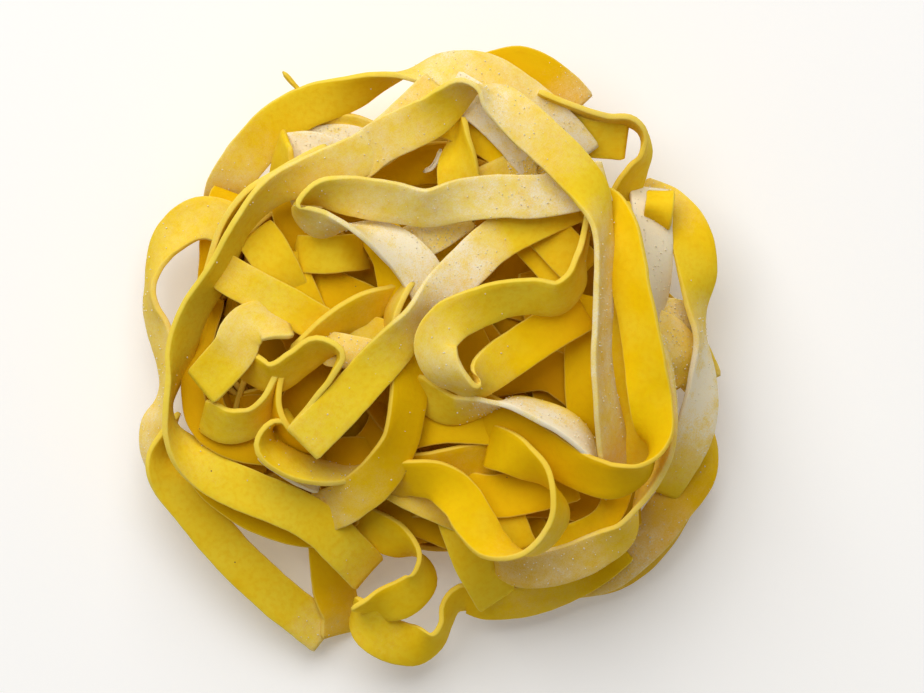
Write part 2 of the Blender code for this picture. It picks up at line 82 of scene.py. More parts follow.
STRANDS = (
    Strand("outer_left", 7.0, (
        (-31, 20.5, 13, 10), (-37, 21.8, 13, 15), (-41.6, 19, 12, 42), (-44.6, 13.8, 11, 72),
        (-45.2, 10, 10.8, 80), (-44.9, 7.4, 10.6, 72), (-43.9, 4.6, 10.4, 60), (-43, 1.4, 10.4, 60),
        (-42.5, -2.2, 10.4, 72), (-42.6, -5.4, 10.4, 80), (-43, -8.2, 10.5, 68), (-44, -11.2, 10.4, 48),
        (-43.8, -14.4, 10, 34), (-42.6, -17.8, 9, 25), (-40, -22.5, 7.5, 5),
    ), flour_and_sheen=(0.15, 0.15, 0.1, 0.15, 0.25, 0.2, 0.35, 0.4, 0.1), tone=(0.45,), layer=Layer.RING),
    Strand("front_left", 7.0, (
        (-41, -10.8, 10.2, -86), (-42.5, -13.6, 11.8, -74), (-43.2, -16.6, 12.4, -52),
        (-41.4, -20.6, 12.6, -12), (-38.2, -24.6, 12.3, 4), (-32.7, -31.3, 11, 3), (-25.5, -38.3, 8.5, 0),
        (-20, -42.9, 6, 0), (-16.9, -45.4, 4.4, 0),
    ), flour_and_sheen=(0.05, 0, 0, 0, 0, 0.02, 0.3), tone=(0.35,), layer=Layer.RING),
    Strand("left_fold", 6.4, (
        (-34.6, 8, 7.5, 0), (-34.2, 15, 10, -8), (-33.6, 21.5, 11.5, -8), (-32, 26, 11, 0),
    ), tone=(1.3,), layer=Layer.RING),
    Strand("outer_back_left", 7.0, (
        (-33.5, 23.5, 5, 0), (-32.3, 27.5, 11, 5), (-28.7, 32.5, 13.5, 8), (-24.3, 37, 15.5, 10),
        (-19, 39.9, 17, 18), (-13, 41.7, 18, 38), (-8.5, 43.6, 18.6, 66), (-4.6, 44.8, 19.8, 92),
        (-0.5, 45.3, 21.3, 128), (4, 45.3, 22.6, 155), (9, 44.4, 23.4, 170), (13.1, 41.9, 24, 180),
        (17.2, 38.8, 24.1, 180), (20.8, 35.4, 23.6, 180), (24.2, 31.2, 22, 180),
    ), flour_and_sheen=(0.25, 0.3, 0.12, 0.03, 0, 0, 0.1, 0.45, 0.3, 0.3, 0.75, 0.85), layer=Layer.RING),
    Strand("stray_end", 0.8, (
        (-19.3, 40.4, 15.5, 0), (-21.4, 42.6, 17, 0), (-23.7, 45.2, 17.6, 0),
    ), flour_and_sheen=(0.1,), layer=Layer.RING),
    Strand("long_left", 7.0, (
        (1.6, 42.4, 26, 0), (-3.6, 37.4, 27.3, 0), (-9.6, 32.5, 28.4, -8), (-17.6, 29, 28.9, -24),
        (-25, 26, 28.5, -50), (-30.2, 20.5, 28, -68), (-33.7, 13.5, 26.5, -62), (-37.6, 7, 24.2, -54),
        (-39.9, 0.8, 22.6, -54), (-41.2, -4.6, 21.7, -78), (-42, -8.6, 21.2, -88),
        (-41.4, -12.2, 20.8, -72), (-39.6, -15, 20.6, -45), (-36.9, -17.6, 20.5, -15),
        (-33.5, -20, 20.5, -2), (-27.5, -22.6, 20.5, 0), (-21.5, -25.1, 19.8, 0), (-17, -28, 18.4, 0),
        (-13.2, -31.8, 15.6, -5), (-10, -35.2, 11.4, -8),
    ),
    flour_and_sheen=(0.3, 0.35, 0.2, 0.05, 0, 0.03, 0.08, 0.02, 0.02, 0.08), tone=(0.35, 0.2, 0.2, 0.35),
    layer=Layer.RING),
    Strand("left_rim", 7.0, (
        (-36.2, 8, 20, 82), (-34.9, 15, 24, 84), (-33, 20.5, 25.5, 84), (-29.2, 25.2, 26.3, 80),
        (-23.5, 28.6, 25.6, 72), (-17, 31.4, 22.6, 60),
    ), flour_and_sheen=(0.05, 0.12, 0.12), tone=(0.4,), layer=Layer.RING),
    Strand("crown", 7.0, (
        (-22.5, 24.8, 23, 0), (-16.5, 27.6, 25.4, 0), (-11.8, 30.8, 27.5, -4), (-7.8, 33.8, 28.9, 0),
        (-3.4, 36, 29.4, 6), (0.2, 37.8, 29.9, 18), (2.8, 40.1, 30.7, 36), (5.6, 42.3, 31.8, 62),
        (8, 42.5, 32.3, 95), (10.7, 40.5, 32.8, 138), (13.8, 37.6, 33.4, 160), (17.6, 34.2, 34.2, 170),
        (21.5, 30.4, 35, 166), (25, 26.2, 35.2, 150), (27.1, 21, 35.2, 118), (27.5, 14, 35, 110),
        (27.2, 6, 34.6, 112), (27.2, -2, 34, 114), (27.9, -8, 32.8, 120), (28.6, -13, 30.6, 128),
        (29.3, -17.5, 27.4, 132), (29.8, -21.5, 24, 135),
    ), flour_and_sheen=(0.3, 0.35, 0.3, 0.03, 0.55, 0.25, 0, 0.45, 0.6, 0.45, 0.35, 0.3), layer=Layer.RING),
    Strand("back_arch", 7.0, (
        (7, 43.8, 17, 0), (10.6, 45.2, 18.5, 0), (14.2, 45.8, 19.5, 0), (17.8, 44.3, 19.5, 0),
        (20.9, 41.9, 18.8, 0), (23.4, 39.2, 17.4, 0),
    ), flour_and_sheen=(0, 0, 0.05, 0.45), tone=(1.3,), layer=Layer.RING),
    Strand("back_right_inner", 6.2, (
        (19.6, 36.8, 20.4, 20), (25, 34.6, 20.8, 20), (31.3, 34.1, 19.2, 15),
    ), tone=(0.2,), layer=Layer.RING),
    Strand("back_right_rim", 7.0, (
        (17, 41.3, 22.8, 80), (22.5, 39.1, 22.8, 80), (28, 37.4, 21.5, 82), (31.6, 36.9, 20.5, 78),
        (33.8, 35, 19, 95), (34.2, 32.2, 18, 104), (32.9, 29.5, 17, 114), (31.4, 26.6, 16, 124),
        (30.2, 23, 14, 130),
    ), flour_and_sheen=(0.1, 0.15, 0.05, 0.05), tone=(0.6,), layer=Layer.RING),
    Strand("right_inner", 7.0, (
        (24.4, 21.6, 26.4, 0), (27.3, 23.2, 29.6, 10), (29.5, 20.8, 31.4, 26), (30.9, 16, 32.8, 32),
        (31.8, 10.5, 33.6, 32), (32.9, 5, 34, 30), (34.1, -2, 34.2, 20), (35, -8.2, 34, 12),
        (35.5, -12.4, 33.7, 34), (35.3, -15.5, 33.1, 76), (33.5, -18.3, 32.3, 112),
        (29.2, -20, 31.3, 140), (24.3, -18.9, 30, 145), (18.2, -15.2, 28.5, 150),
        (12.6, -11.6, 27.2, 155), (7.5, -9, 24.5, 160),
    ),
    flour_and_sheen=(0, 0, 0, 0, 0, 0.02, 0, 0), tone=(0.8, 0.8, 0.85, 0.9, 1.1, 1.35, 1.4, 1.4), layer=Layer.RING),
    Strand("right_under", 6.8, (
        (28.6, 24, 22, 0), (29.4, 17, 26.5, 0), (30, 9, 28.6, 0), (31, 1, 28.8, 0), (32.3, -7, 28, 0),
        (33.4, -13.5, 27, 0), (34.2, -19, 24, 0),
    ), flour_and_sheen=(0.05,), tone=(0.7,)),
    Strand("right_loop", 7.0, (
        (9.2, -14.6, 24.8, 6), (12, -15.5, 28, 18), (14.8, -17, 29.3, 40), (17.8, -19, 30.2, 68),
        (19.8, -22, 30.7, 95), (20.5, -25.3, 30.7, 112), (18.9, -29.1, 29.8, 108),
        (14.4, -31.9, 28.7, 88), (9.8, -30.3, 28, 42), (7, -26.8, 27.6, 15), (4.6, -23, 27, 0),
        (1.2, -20.4, 26.2, -25), (-3.2, -19.8, 24.6, -38), (-8, -20.5, 21, -38),
    ), flour_and_sheen=(0, 0.02, 0.04, 0.12, 0.04, 0, 0, 0.12), tone=(1.2, 1.1, 0.8, 0.7, 0.9, 1.2, 1.4)),
    Strand("right_rim", 7.0, (
        (36.5, 3, 25, -84), (38.3, -4.5, 26, -86), (38.7, -10.8, 26.4, -92), (37.2, -15.8, 26.4, -108),
        (34.9, -20, 26, -112), (32.8, -24, 25.4, -94), (30.8, -28.3, 24.4, -58), (26.5, -31.3, 23.2, -36),
        (20.5, -33.8, 22, -32), (14.6, -34.3, 20.6, -36), (10.2, -32.8, 18.2, -50),
    ), flour_and_sheen=(0.35, 0.3, 0.2, 0.1, 0.35, 0.2), tone=(0.6, 0.6, 0.6, 0.8, 1.2, 1.3), layer=Layer.RING),
    Strand("right_side", 7.0, (
        (33.6, 25.2, 9, 0), (38, 23.3, 13.8, -4), (41.3, 19.3, 16.3, -10), (42.6, 13.5, 17.2, -28),
        (42.5, 8, 17.4, -62), (43.1, 3, 17.2, -78), (43.3, -3, 16.7, -58), (43, -8.5, 16, -38),
        (41.6, -13.6, 15, -28), (39.2, -18, 13.5, -25), (36.4, -22, 11, -25),
    ), flour_and_sheen=(0.25, 0.15, 0.02, 0.03, 0.35, 1.3, 0.9, 0.2, 0), layer=Layer.RING),
    Strand("right_fold", 4.6, (
        (36.1, 20.9, 17.4, -6), (36.3, 21.8, 19.4, -14), (36.5, 23.5, 20.5, -4), (36.7, 25.1, 19.5, -12),
        (36.8, 25.9, 17.6, -6),
    ), tone=(0.9,), layer=Layer.RING),
    Strand("right_wedge", 7.0, (
        (35.2, 26.5, 13, -10), (35.4, 22, 18.2, -25), (35.6, 17, 19.6, -32), (35.7, 12, 19.6, -45),
        (35.7, 6.5, 18.6, -62), (36.2, 1, 17, -75),
    ), flour_and_sheen=(2.2, 2.4, 2.4, 2.2), tone=(0,), layer=Layer.RING),
    Strand("right_short_a", 6.4, (
        (33.5, 4.5, 15, 0), (38, 5.8, 16.2, 0), (41, 4.6, 15.2, -20), (42.2, 2.4, 14, -40),
    ), flour_and_sheen=(0.5,), tone=(0.3,), layer=Layer.RING),
    Strand("right_short_b", 6.4, (
        (33, 4.5, 16.6, 0), (37, 3.6, 17.8, -8), (40.2, 0.2, 17.6, -18), (41.4, -4.5, 15, -30),
    ), flour_and_sheen=(0.45, 0.15), layer=Layer.RING),
    Strand("right_tip", 7.0, (
        (30.5, 11, 6.5, 0), (35.5, 7.5, 8, 0), (40, 2.5, 9, -5), (42.3, -1.8, 9.3, -10),
        (43.6, -4.8, 9, -10),
    ), flour_and_sheen=(0.2, 0.25), tone=(0.4,), layer=Layer.RING),
    Strand("front_right", 7.0, (
        (42.2, -10.5, 9, -50), (43.5, -15.5, 9.2, -46), (42.4, -19.9, 9.4, -26), (39.2, -23.7, 9.6, -8),
        (36.1, -28, 9.4, -4), (32.2, -31.9, 8.6, -8), (27.5, -35.2, 7.2, -20), (21.5, -36.5, 6, -30),
    ), flour_and_sheen=(0.1, 0.05, 0.05, 0.25, 0.4, 0.35, 0.1), tone=(0.8, 1.3, 1.4, 1.1, 0.9), layer=Layer.RING),
    Strand("front_right_low", 7.0, (
        (40, -25, 5.6, -58), (36.9, -29.9, 5, -58), (33.2, -34, 4.8, -60), (28.6, -36.7, 4.6, -62),
        (23.2, -37.3, 4.6, -62), (17, -37.2, 5, -60),
    ), flour_and_sheen=(0.1,), tone=(1.3,), layer=Layer.RING),
    Strand("front_loop", 7.0, (
        (-12.4, -40.4, 10, 72), (-11.3, -42.3, 10.8, 48), (-9.2, -44.4, 10.8, 12), (-5.8, -46.2, 9.6, 6),
        (-2.2, -46.9, 8.6, 28), (0.7, -46.1, 8.4, 66), (2.3, -43.4, 8.6, 78), (3.2, -40.6, 8.9, 66),
        (5.2, -39.2, 9.2, 52), (8.6, -40, 9, 45), (12.8, -40, 8.6, 46), (17.5, -38.9, 8.6, 42),
        (22.2, -36.6, 9.2, 30), (26.3, -33.8, 9.8, 16), (30.3, -30.4, 10.4, 5),
    ), flour_and_sheen=(0.05, 0.05, 0, 0.03, 0.1, 0.06, 0), tone=(0.6, 0.6, 0.8, 1), layer=Layer.RING),
    Strand("left_under", 7.0, (
        (-38, -14.5, 13, 0), (-34.6, -20.2, 14.8, 0), (-30, -23.9, 15.2, 0), (-24.4, -26.6, 14.8, 0),
        (-18.5, -27.6, 13.6, 0), (-13, -26.6, 12, 0),
    ), tone=(1.1,), layer=Layer.RING),
    Strand("front_left_drop", 7.0, (
        (-16.4, -27, 14, 0), (-16.1, -33, 11, 0), (-15.5, -38, 7.4, -12), (-14.6, -42, 4.6, -34),
        (-15.2, -45.2, 3, -48),
    ), flour_and_sheen=(0, 0, 0.05, 0.15), tone=(1, 1.35, 1.1), layer=Layer.RING),
    Strand("front_hook", 7.0, (
        (-14, -26.6, 11.6, 20), (-9.6, -28, 13.6, 30), (-5.3, -30, 14.4, 44), (-1.7, -32.5, 14.4, 92),
        (-1.3, -36.2, 14.2, 130), (-4.2, -39, 14, 148), (-7.4, -40.1, 13.8, 140),
        (-9.8, -40.8, 13.4, 116), (-11.8, -41.2, 12.8, 98),
    ), tone=(0.7,)),
    Strand("front_under", 6.0, (
        (-12, -22.8, 11.5, 0), (-6, -24.6, 13, 10), (0.4, -27.2, 13.4, 10), (7, -30, 12.4, 0),
    ), tone=(1.5,)),
    Strand("middle_drop", 7.0, (
        (-2.2, 3.5, 27.5, -30), (-3.3, -2.5, 29, -36), (-3.7, -8, 29, -38), (-4.9, -13.6, 28, -34),
        (-8, -19, 26, -22), (-12.4, -22.9, 22.5, -10), (-18, -25.6, 16, 0),
    ), flour_and_sheen=(0, 0.02, 0.03, 0.12, 0.3), tone=(1, 1.2, 1.35, 0.9, 0.6)),
    Strand("front_middle", 7.0, (
        (-9, -17.5, 18, 0), (-4.4, -20.8, 20.2, 0), (0.6, -23.2, 20.4, 0), (6, -25.5, 18, 0),
    ), flour_and_sheen=(0.12, 0.15), tone=(0.55,)),
    Strand("front_slope", 7.0, (
        (2.2, -20.5, 17, 10), (4.6, -27, 18.8, 10), (6.3, -31.6, 18, 8), (8.4, -35.6, 15.6, 2),
        (10.6, -39.4, 11, -5),
    ), tone=(0.3,)),
    Strand("diagonal", 7.0, (
        (26, 25.4, 25, 0), (19.5, 22.9, 28, 0), (14.2, 20.4, 29.6, 0), (9.9, 17.8, 30.6, 0),
        (6.2, 14.3, 31.6, 0), (2.2, 10.5, 32.4, -18), (-2, 6.3, 33, -56), (-5.4, 1.7, 33, -30),
        (-9.6, -3, 32.3, -6), (-14.4, -8.3, 31.3, 0), (-20.5, -14.4, 30, 0),
    ), flour_and_sheen=(0, 0, 0.02, 0.72, 0.7, 0.12, 0.03, 0.05, 0.1), tone=(0.35,)),
    Strand("pretzel", 7.0, (
        (25.2, 26, 28, -84), (25.2, 22.5, 29.4, -84), (24.6, 19.2, 30.4, -84), (23.8, 15.2, 31.6, -80),
        (23, 11.6, 32.6, -62), (20.2, 8.8, 33.3, -44), (16.2, 9.2, 34, -36), (11.4, 8.7, 34.8, -34),
        (6.8, 7, 35.6, -24), (2.9, 5, 36, -6), (0.8, 1.8, 36, 6), (1.5, -1.4, 35.7, 26),
        (3.8, -4.1, 34.7, 56), (6.6, -5.6, 33.3, 72), (8.8, -3.2, 32, 28), (11.6, -0.9, 31.1, 12),
        (15, 1.4, 30.4, 6), (19, 4, 29.6, 0), (24.5, 7.2, 28, 0),
    ),
    flour_and_sheen=(0.3, 0.1, 0.05, 0.05, 0.02, 0.12, 0.3, 0.15, 0.05, 0, 0),
    tone=(0.5, 0.5, 0.4, 0.4, 0.4, 0.4, 0.5, 1.2, 1.7)),
    Strand("hairpin", 7.0, (
        (28, 27.5, 31.4, 0), (22.5, 26, 32.2, 0), (16.5, 25, 32.4, 0), (10.5, 25, 32.3, 0),
        (5, 24.5, 32, -12), (-0.5, 23.2, 31.6, -34), (-6.5, 24.2, 31.6, -26), (-12.5, 25.1, 31.7, -30),
        (-18.2, 25.4, 31.7, -62), (-21.2, 23.6, 31.6, -95), (-17.9, 20.8, 31.2, -125),
        (-12.8, 20.1, 30.8, -88), (-8, 18.7, 30.5, -48), (-3.8, 15.6, 30, -24), (-0.8, 11.6, 29, -14),
        (1.6, 5.6, 26.2, -4),
    ), flour_and_sheen=(0.6, 0.6, 0.45, 0.4, 0.4, 0.2, 0.06, 0.5, 0.9, 0.8, 0.6), tone=(0.25, 0.2, 0.1, 0.1, 0.15)),
    Strand("back_inner", 7.0, (
        (1.5, 38.4, 24.6, 0), (7.4, 35.8, 26, 0), (12.6, 32.4, 26.2, 0), (17, 28.4, 25, 0),
    ), tone=(0.85,)),
    Strand("back_inner_pale", 6.4, (
        (3, 42.5, 26.5, 0), (8, 39.4, 27.4, 0), (12.6, 35.2, 27.6, 0), (17, 30, 26.4, 0),
    ), flour_and_sheen=(0.9,), tone=(0.1,)),
    Strand("back_spike", 7.0, (
        (4.8, 36.9, 26.4, 84), (4.5, 34, 27.2, 62), (4.3, 30.2, 27.8, 28), (4.6, 26, 27, 10),
    ), flour_and_sheen=(0.03, 0.05)),
    Strand("back_deep", 7.0, (
        (-15, 20.5, 15.5, 10), (-11.5, 25.7, 18.5, 22), (-6, 29.3, 20, 30), (0.5, 30.6, 20, 25),
        (6.5, 30, 19, 10),
    ), tone=(1.5,)),
    Strand("back_shelf", 5.2, (
        (12.6, 24, 24.4, 0), (10.9, 27.4, 25.8, 0), (9.4, 30.6, 26.6, 0),
    ), flour_and_sheen=(0.1, 0.2), tone=(0.45,)),
    Strand("back_shelf_b", 4.6, (
        (15.6, 23.5, 24.2, 0), (14.9, 27.4, 26, 0), (14.2, 31.4, 27, 0),
    ), flour_and_sheen=(0.2, 0.3), tone=(0.4,)),
    Strand("back_shelf_c", 4.0, (
        (19.5, 24, 24.2, 0), (18, 27.2, 25, 0), (16.6, 30.2, 25.6, 0),
    ), flour_and_sheen=(0.3,), tone=(0.3,)),
    Strand("back_left_curl", 7.0, (
        (-24.2, 22, 11, -50), (-23.9, 26.4, 14.8, -55), (-23.5, 30.6, 18, -60), (-22.9, 34.5, 20, -76),
    ), flour_and_sheen=(0.05,), tone=(0.55,)),
    Strand("back_left_pale", 6.6, (
        (-23.2, 32.2, 17.6, 0), (-18.8, 32.4, 18.8, 8), (-14.4, 30.6, 18.2, 10), (-10, 27.6, 16, 0),
    ), flour_and_sheen=(1.1, 1), tone=(0.2,)),
    Strand("back_left_floured", 6.0, (
        (-21, 32.8, 14, 0), (-16, 33.8, 15.4, 0), (-11, 33.3, 15.6, 0), (-6, 31, 14.6, 0),
    ), flour_and_sheen=(1.1,), tone=(0.2,)),
    Strand("back_left_shade", 5.0, (
        (-18.6, 35.2, 13.2, 25), (-14.2, 36.4, 14.8, 30), (-9.6, 34.9, 15, 25), (-5.6, 32, 14, 10),
    ), flour_and_sheen=(0.1, 0.2)),
    Strand("left_box", 6.0, (
        (-21.6, 16, 18.5, 0), (-20, 15.9, 24, 0), (-17.4, 15.8, 25.4, 0), (-14.2, 16, 25.8, 0),
        (-11.8, 16.2, 24, 0), (-10.8, 16.4, 20, 0),
    ), flour_and_sheen=(0.02, 0), tone=(0.6,)),
    Strand("left_tongue", 6.2, (
        (-33.3, 13.2, 25.5, 0), (-29.8, 11.2, 26.8, 0), (-25, 8.7, 27, 0), (-20, 6, 26.6, 0),
        (-13.5, 2, 24, 0),
    ), flour_and_sheen=(0.12, 0.06, 0.02)),
    Strand("left_drape", 7.0, (
        (-22.4, 4.4, 27.6, 66), (-25.3, 5, 28.5, 48), (-28.2, 5, 29, 20), (-30.1, 3.4, 29.3, 4),
        (-31.2, 0.8, 29.2, 0), (-33.5, -2, 28.3, 6), (-36.6, -5.4, 26.2, 18),
    ), flour_and_sheen=(0.2, 0.25, 0.2, 0.05, 0.05)),
    Strand("left_ridge", 7.0, (
        (-31.4, 1, 23.4, 44), (-28.6, -2, 26, 50), (-24.8, -3.5, 28, 50), (-21, -1.2, 29, 54),
        (-17.6, 0.9, 30.2, 58), (-14.6, 0.2, 30.5, 82), (-15.6, -3.6, 29.5, 95), (-18.2, -7.5, 28, 100),
        (-21, -11, 26, 100),
    ), flour_and_sheen=(0.06, 0.05)),
    Strand("left_ridge_flat", 5.6, (
        (-16.8, 1, 27, 0), (-12, 0.1, 28.2, 0), (-6.5, -1, 28.3, 0),
    ), flour_and_sheen=(0.25, 0.3), tone=(0.4,)),
    Strand("left_hook", 7.0, (
        (-36.4, -9.6, 23.5, 46), (-32.6, -11.4, 24.4, 42), (-28.4, -10.6, 25, 50),
        (-25.8, -7.6, 25.6, 72), (-24.6, -4.2, 25.4, 84), (-23.4, -1.6, 24, 84),
    ), flour_and_sheen=(0.05, 0.08)),
    Strand("left_wall", 7.0, (
        (-22.5, 0, 22.6, 70), (-24.4, -3.6, 25, 78), (-24.9, -8, 25.4, 78), (-23.2, -12.4, 24.6, 70),
        (-19, -15.6, 22, 60),
    ), flour_and_sheen=(0.03,), tone=(1,)),
    Strand("left_curl", 7.0, (
        (-21.8, -10.6, 24, 55), (-25.4, -11.2, 25.5, 92), (-26.3, -14.2, 25.8, 118),
        (-22.8, -17.3, 25, 128), (-18, -18.6, 23.4, 122), (-13.4, -18.6, 20.4, 112),
        (-8.5, -16.8, 17, 100),
    ), flour_and_sheen=(0.03, 0.05, 0.35)),
    Strand("dusted_edge", 7.0, (
        (-2.5, -5.4, 26.5, 48), (3.5, -8.9, 28, 50), (8.5, -8.3, 28.8, 70), (13, -7.7, 29.4, 100),
        (18, -9.4, 29.8, 116), (21.9, -11.4, 29.7, 120), (24.9, -14.2, 28.8, 112), (26.5, -17, 27, 96),
    ), flour_and_sheen=(0, 0, 0.7, 1.3, 1.3, 1.2), tone=(0.4,), edge_flour=0.3),
    Strand("middle_shelf", 7.0, (
        (-6, -12.6, 22, 0), (0, -11, 24, 0), (6.5, -10.8, 25, 0), (13, -11.5, 24.8, 0),
    ), flour_and_sheen=(0.02,), tone=(1.25,)),
    Strand("middle_ledge", 7.0, (
        (-6, -20, 20, 20), (0.5, -18.6, 22.2, 30), (6.5, -17.4, 22.8, 30), (13, -17.2, 22, 20),
    ), flour_and_sheen=(0.04, 0.06), tone=(1.3,)),
    Strand("centre_wall", 7.0, (
        (-8.5, 20, 22, 10), (-6, 15, 26.2, 22), (-5.2, 10.6, 27, 26), (-4.8, 6, 25.6, 20),
    ), tone=(1.1,)),
    Strand("centre_arch", 7.0, (
        (-20.4, -0.4, 25.5, 45), (-15.8, 3.9, 27.2, 50), (-10.8, 7, 27.6, 46), (-5.5, 8.6, 24.4, 40),
    ), flour_and_sheen=(0.03, 0.08), tone=(0.6,)),
    Strand("centre_floor", 5.8, (
        (-16.5, 2.2, 23.8, 0), (-11.5, 3.5, 25.6, 0), (-6.5, 2.4, 24.8, 0),
    ), flour_and_sheen=(0.15, 0.1)),
    Strand("left_deep_a", 7.0, (
        (-28.2, 19.6, 23.6, 0), (-26.4, 17, 24.8, 0), (-24.4, 13.6, 25, 0), (-22.6, 9.6, 23.4, 0),
        (-20.6, 4, 18, 0),
    ), flour_and_sheen=(0.04, 0.02), tone=(0.6,)),
    Strand("left_deep_b", 6.6, (
        (-23.2, 16, 22.6, 0), (-22.6, 13.2, 23.5, 0), (-21, 9, 23.6, 0), (-19, 4.5, 22.5, 0),
    ), flour_and_sheen=(0, 0.02), tone=(0.8,)),
    Strand("left_deep_c", 7.0, (
        (-20.5, 13.6, 20.6, 0), (-15.6, 10, 22.4, 0), (-10.5, 7.6, 22.5, 0), (-6, 5, 22, 0),
    ), tone=(1.3,)),
    Strand("right_deep_a", 4.2, (
        (12.6, 20.2, 24.2, 0), (15.8, 16.7, 25.6, 0), (19.6, 12.4, 25.6, 0), (22, 9.5, 24.6, 0),
    ), flour_and_sheen=(0.02, 0), tone=(0.8,)),
    Strand("right_deep_b", 7.0, (
        (15.6, 22.4, 25, 0), (20, 17.8, 27.2, 0), (24.6, 13, 26.6, 0),
    ), flour_and_sheen=(0.02,), tone=(0.75,)),
    Strand("right_deep_c", 7.0, (
        (26.5, 9, 24, 0), (24.9, 2, 24.6, 10), (24.7, -5, 24.4, 10), (25.6, -12, 22, 0),
        (26.2, -17.5, 11, 0),
    ), flour_and_sheen=(0.02, 0), tone=(1.1,)),
    Strand("right_deep_d", 7.0, (
        (8, -4, 19, 0), (13, -3, 21, 0), (18.5, -2.5, 22.5, 0), (24, -6, 22, 0), (28, -11, 21, 0),
    ), tone=(1.9,)),
    Strand("front_deep_a", 4.4, (
        (30.6, -18.5, 20.5, 0), (29.7, -22.6, 22, 0), (27.9, -26.2, 22.4, 0), (24.2, -28.6, 21, 0),
        (19, -29.4, 17, 0), (14, -26.5, 12.5, 0),
    ), tone=(0.9,)),
    Strand("front_deep_b", 5.0, (
        (11.4, -21.5, 21, 0), (12.8, -26.6, 22, 0), (14.8, -31.2, 20.4, 0),
    ), flour_and_sheen=(0, 0.02), tone=(0.7,)),
    Strand("front_deep_c", 7.0, (
        (4, -22, 21, 0), (10.6, -22.7, 23.4, 0), (16.6, -21.6, 23.6, 0), (23, -20, 21.6, 0),
    ), flour_and_sheen=(0, 0.02), tone=(1.25,)),
    Strand("left_deep_d", 5.0, (
        (-36.4, -2, 15.5, 0), (-35.2, -9, 16.5, 0), (-31.5, -14, 17, 0), (-26, -18, 16.5, 0),
    ), tone=(1.5,)),
    Strand("left_deep_e", 4.2, (
        (-35, 9, 17, 0), (-36.4, 3.6, 18.4, 8), (-37.6, -1.5, 19.4, 14), (-38, -6.5, 20, 16),
        (-36.8, -11, 20.4, 10), (-32.6, -14.4, 20.6, 0), (-26.5, -15.8, 20.6, 0), (-18.5, -15, 19.6, 0),
    ), tone=(1.6,)),
    Strand("centre_rim", 6.4, (
        (-2.6, 13, 26, 78), (-4.8, 9.6, 28, 76), (-6.2, 6.4, 28.3, 74), (-6.6, 3, 27.2, 74),
    ), flour_and_sheen=(0.15, 0.1)),
    Strand("left_deep_g", 5.6, (
        (-23.4, 27, 17, 0), (-22.3, 21, 19.6, 0), (-20.2, 14.5, 20, 0),
    ), tone=(1.5,)),
    Strand("centre_bridge", 6.0, (
        (5.4, 22.6, 25, 0), (1.2, 19.6, 26.4, 0), (-3.2, 17.4, 26, 0), (-8, 16, 24, 0),
    ), flour_and_sheen=(0.3, 0.5, 0.1), tone=(0.4,)),
    Strand("centre_deep", 6.0, (
        (-3, 13.6, 21, 0), (2.2, 14.8, 21.6, 0), (7.5, 17.8, 21, 0),
    ), tone=(0.9,)),
    Strand("front_deep_d", 6.4, (
        (21.5, -23, 15.5, 0), (27, -24.6, 15.6, 0), (33.5, -24.4, 13, 0),
    ), tone=(1.8,)),
    Strand("front_deep_e", 7.0, (
        (18.5, -22, 11.5, 0), (23.5, -26.8, 12, 0), (29.5, -29.8, 10.5, 0),
    ), tone=(1.8,)),
    Strand("left_white_edge", 1.8, (
        (-28.4, -15.6, 19.6, -20), (-25.4, -17.6, 21.4, -28), (-21.6, -20, 21.6, -28),
        (-18, -21.6, 20, -20),
    ), flour_and_sheen=(1.4,), tone=(0.1,)),
    Strand("back_flake", 0.9, (
        (-1, 29.2, 22.4, 0), (0.3, 29.8, 24, 0), (1.2, 31.4, 24.4, 0), (1.5, 32.6, 24, 0),
    ), flour_and_sheen=(1.2,), tone=(0.1,)),
)


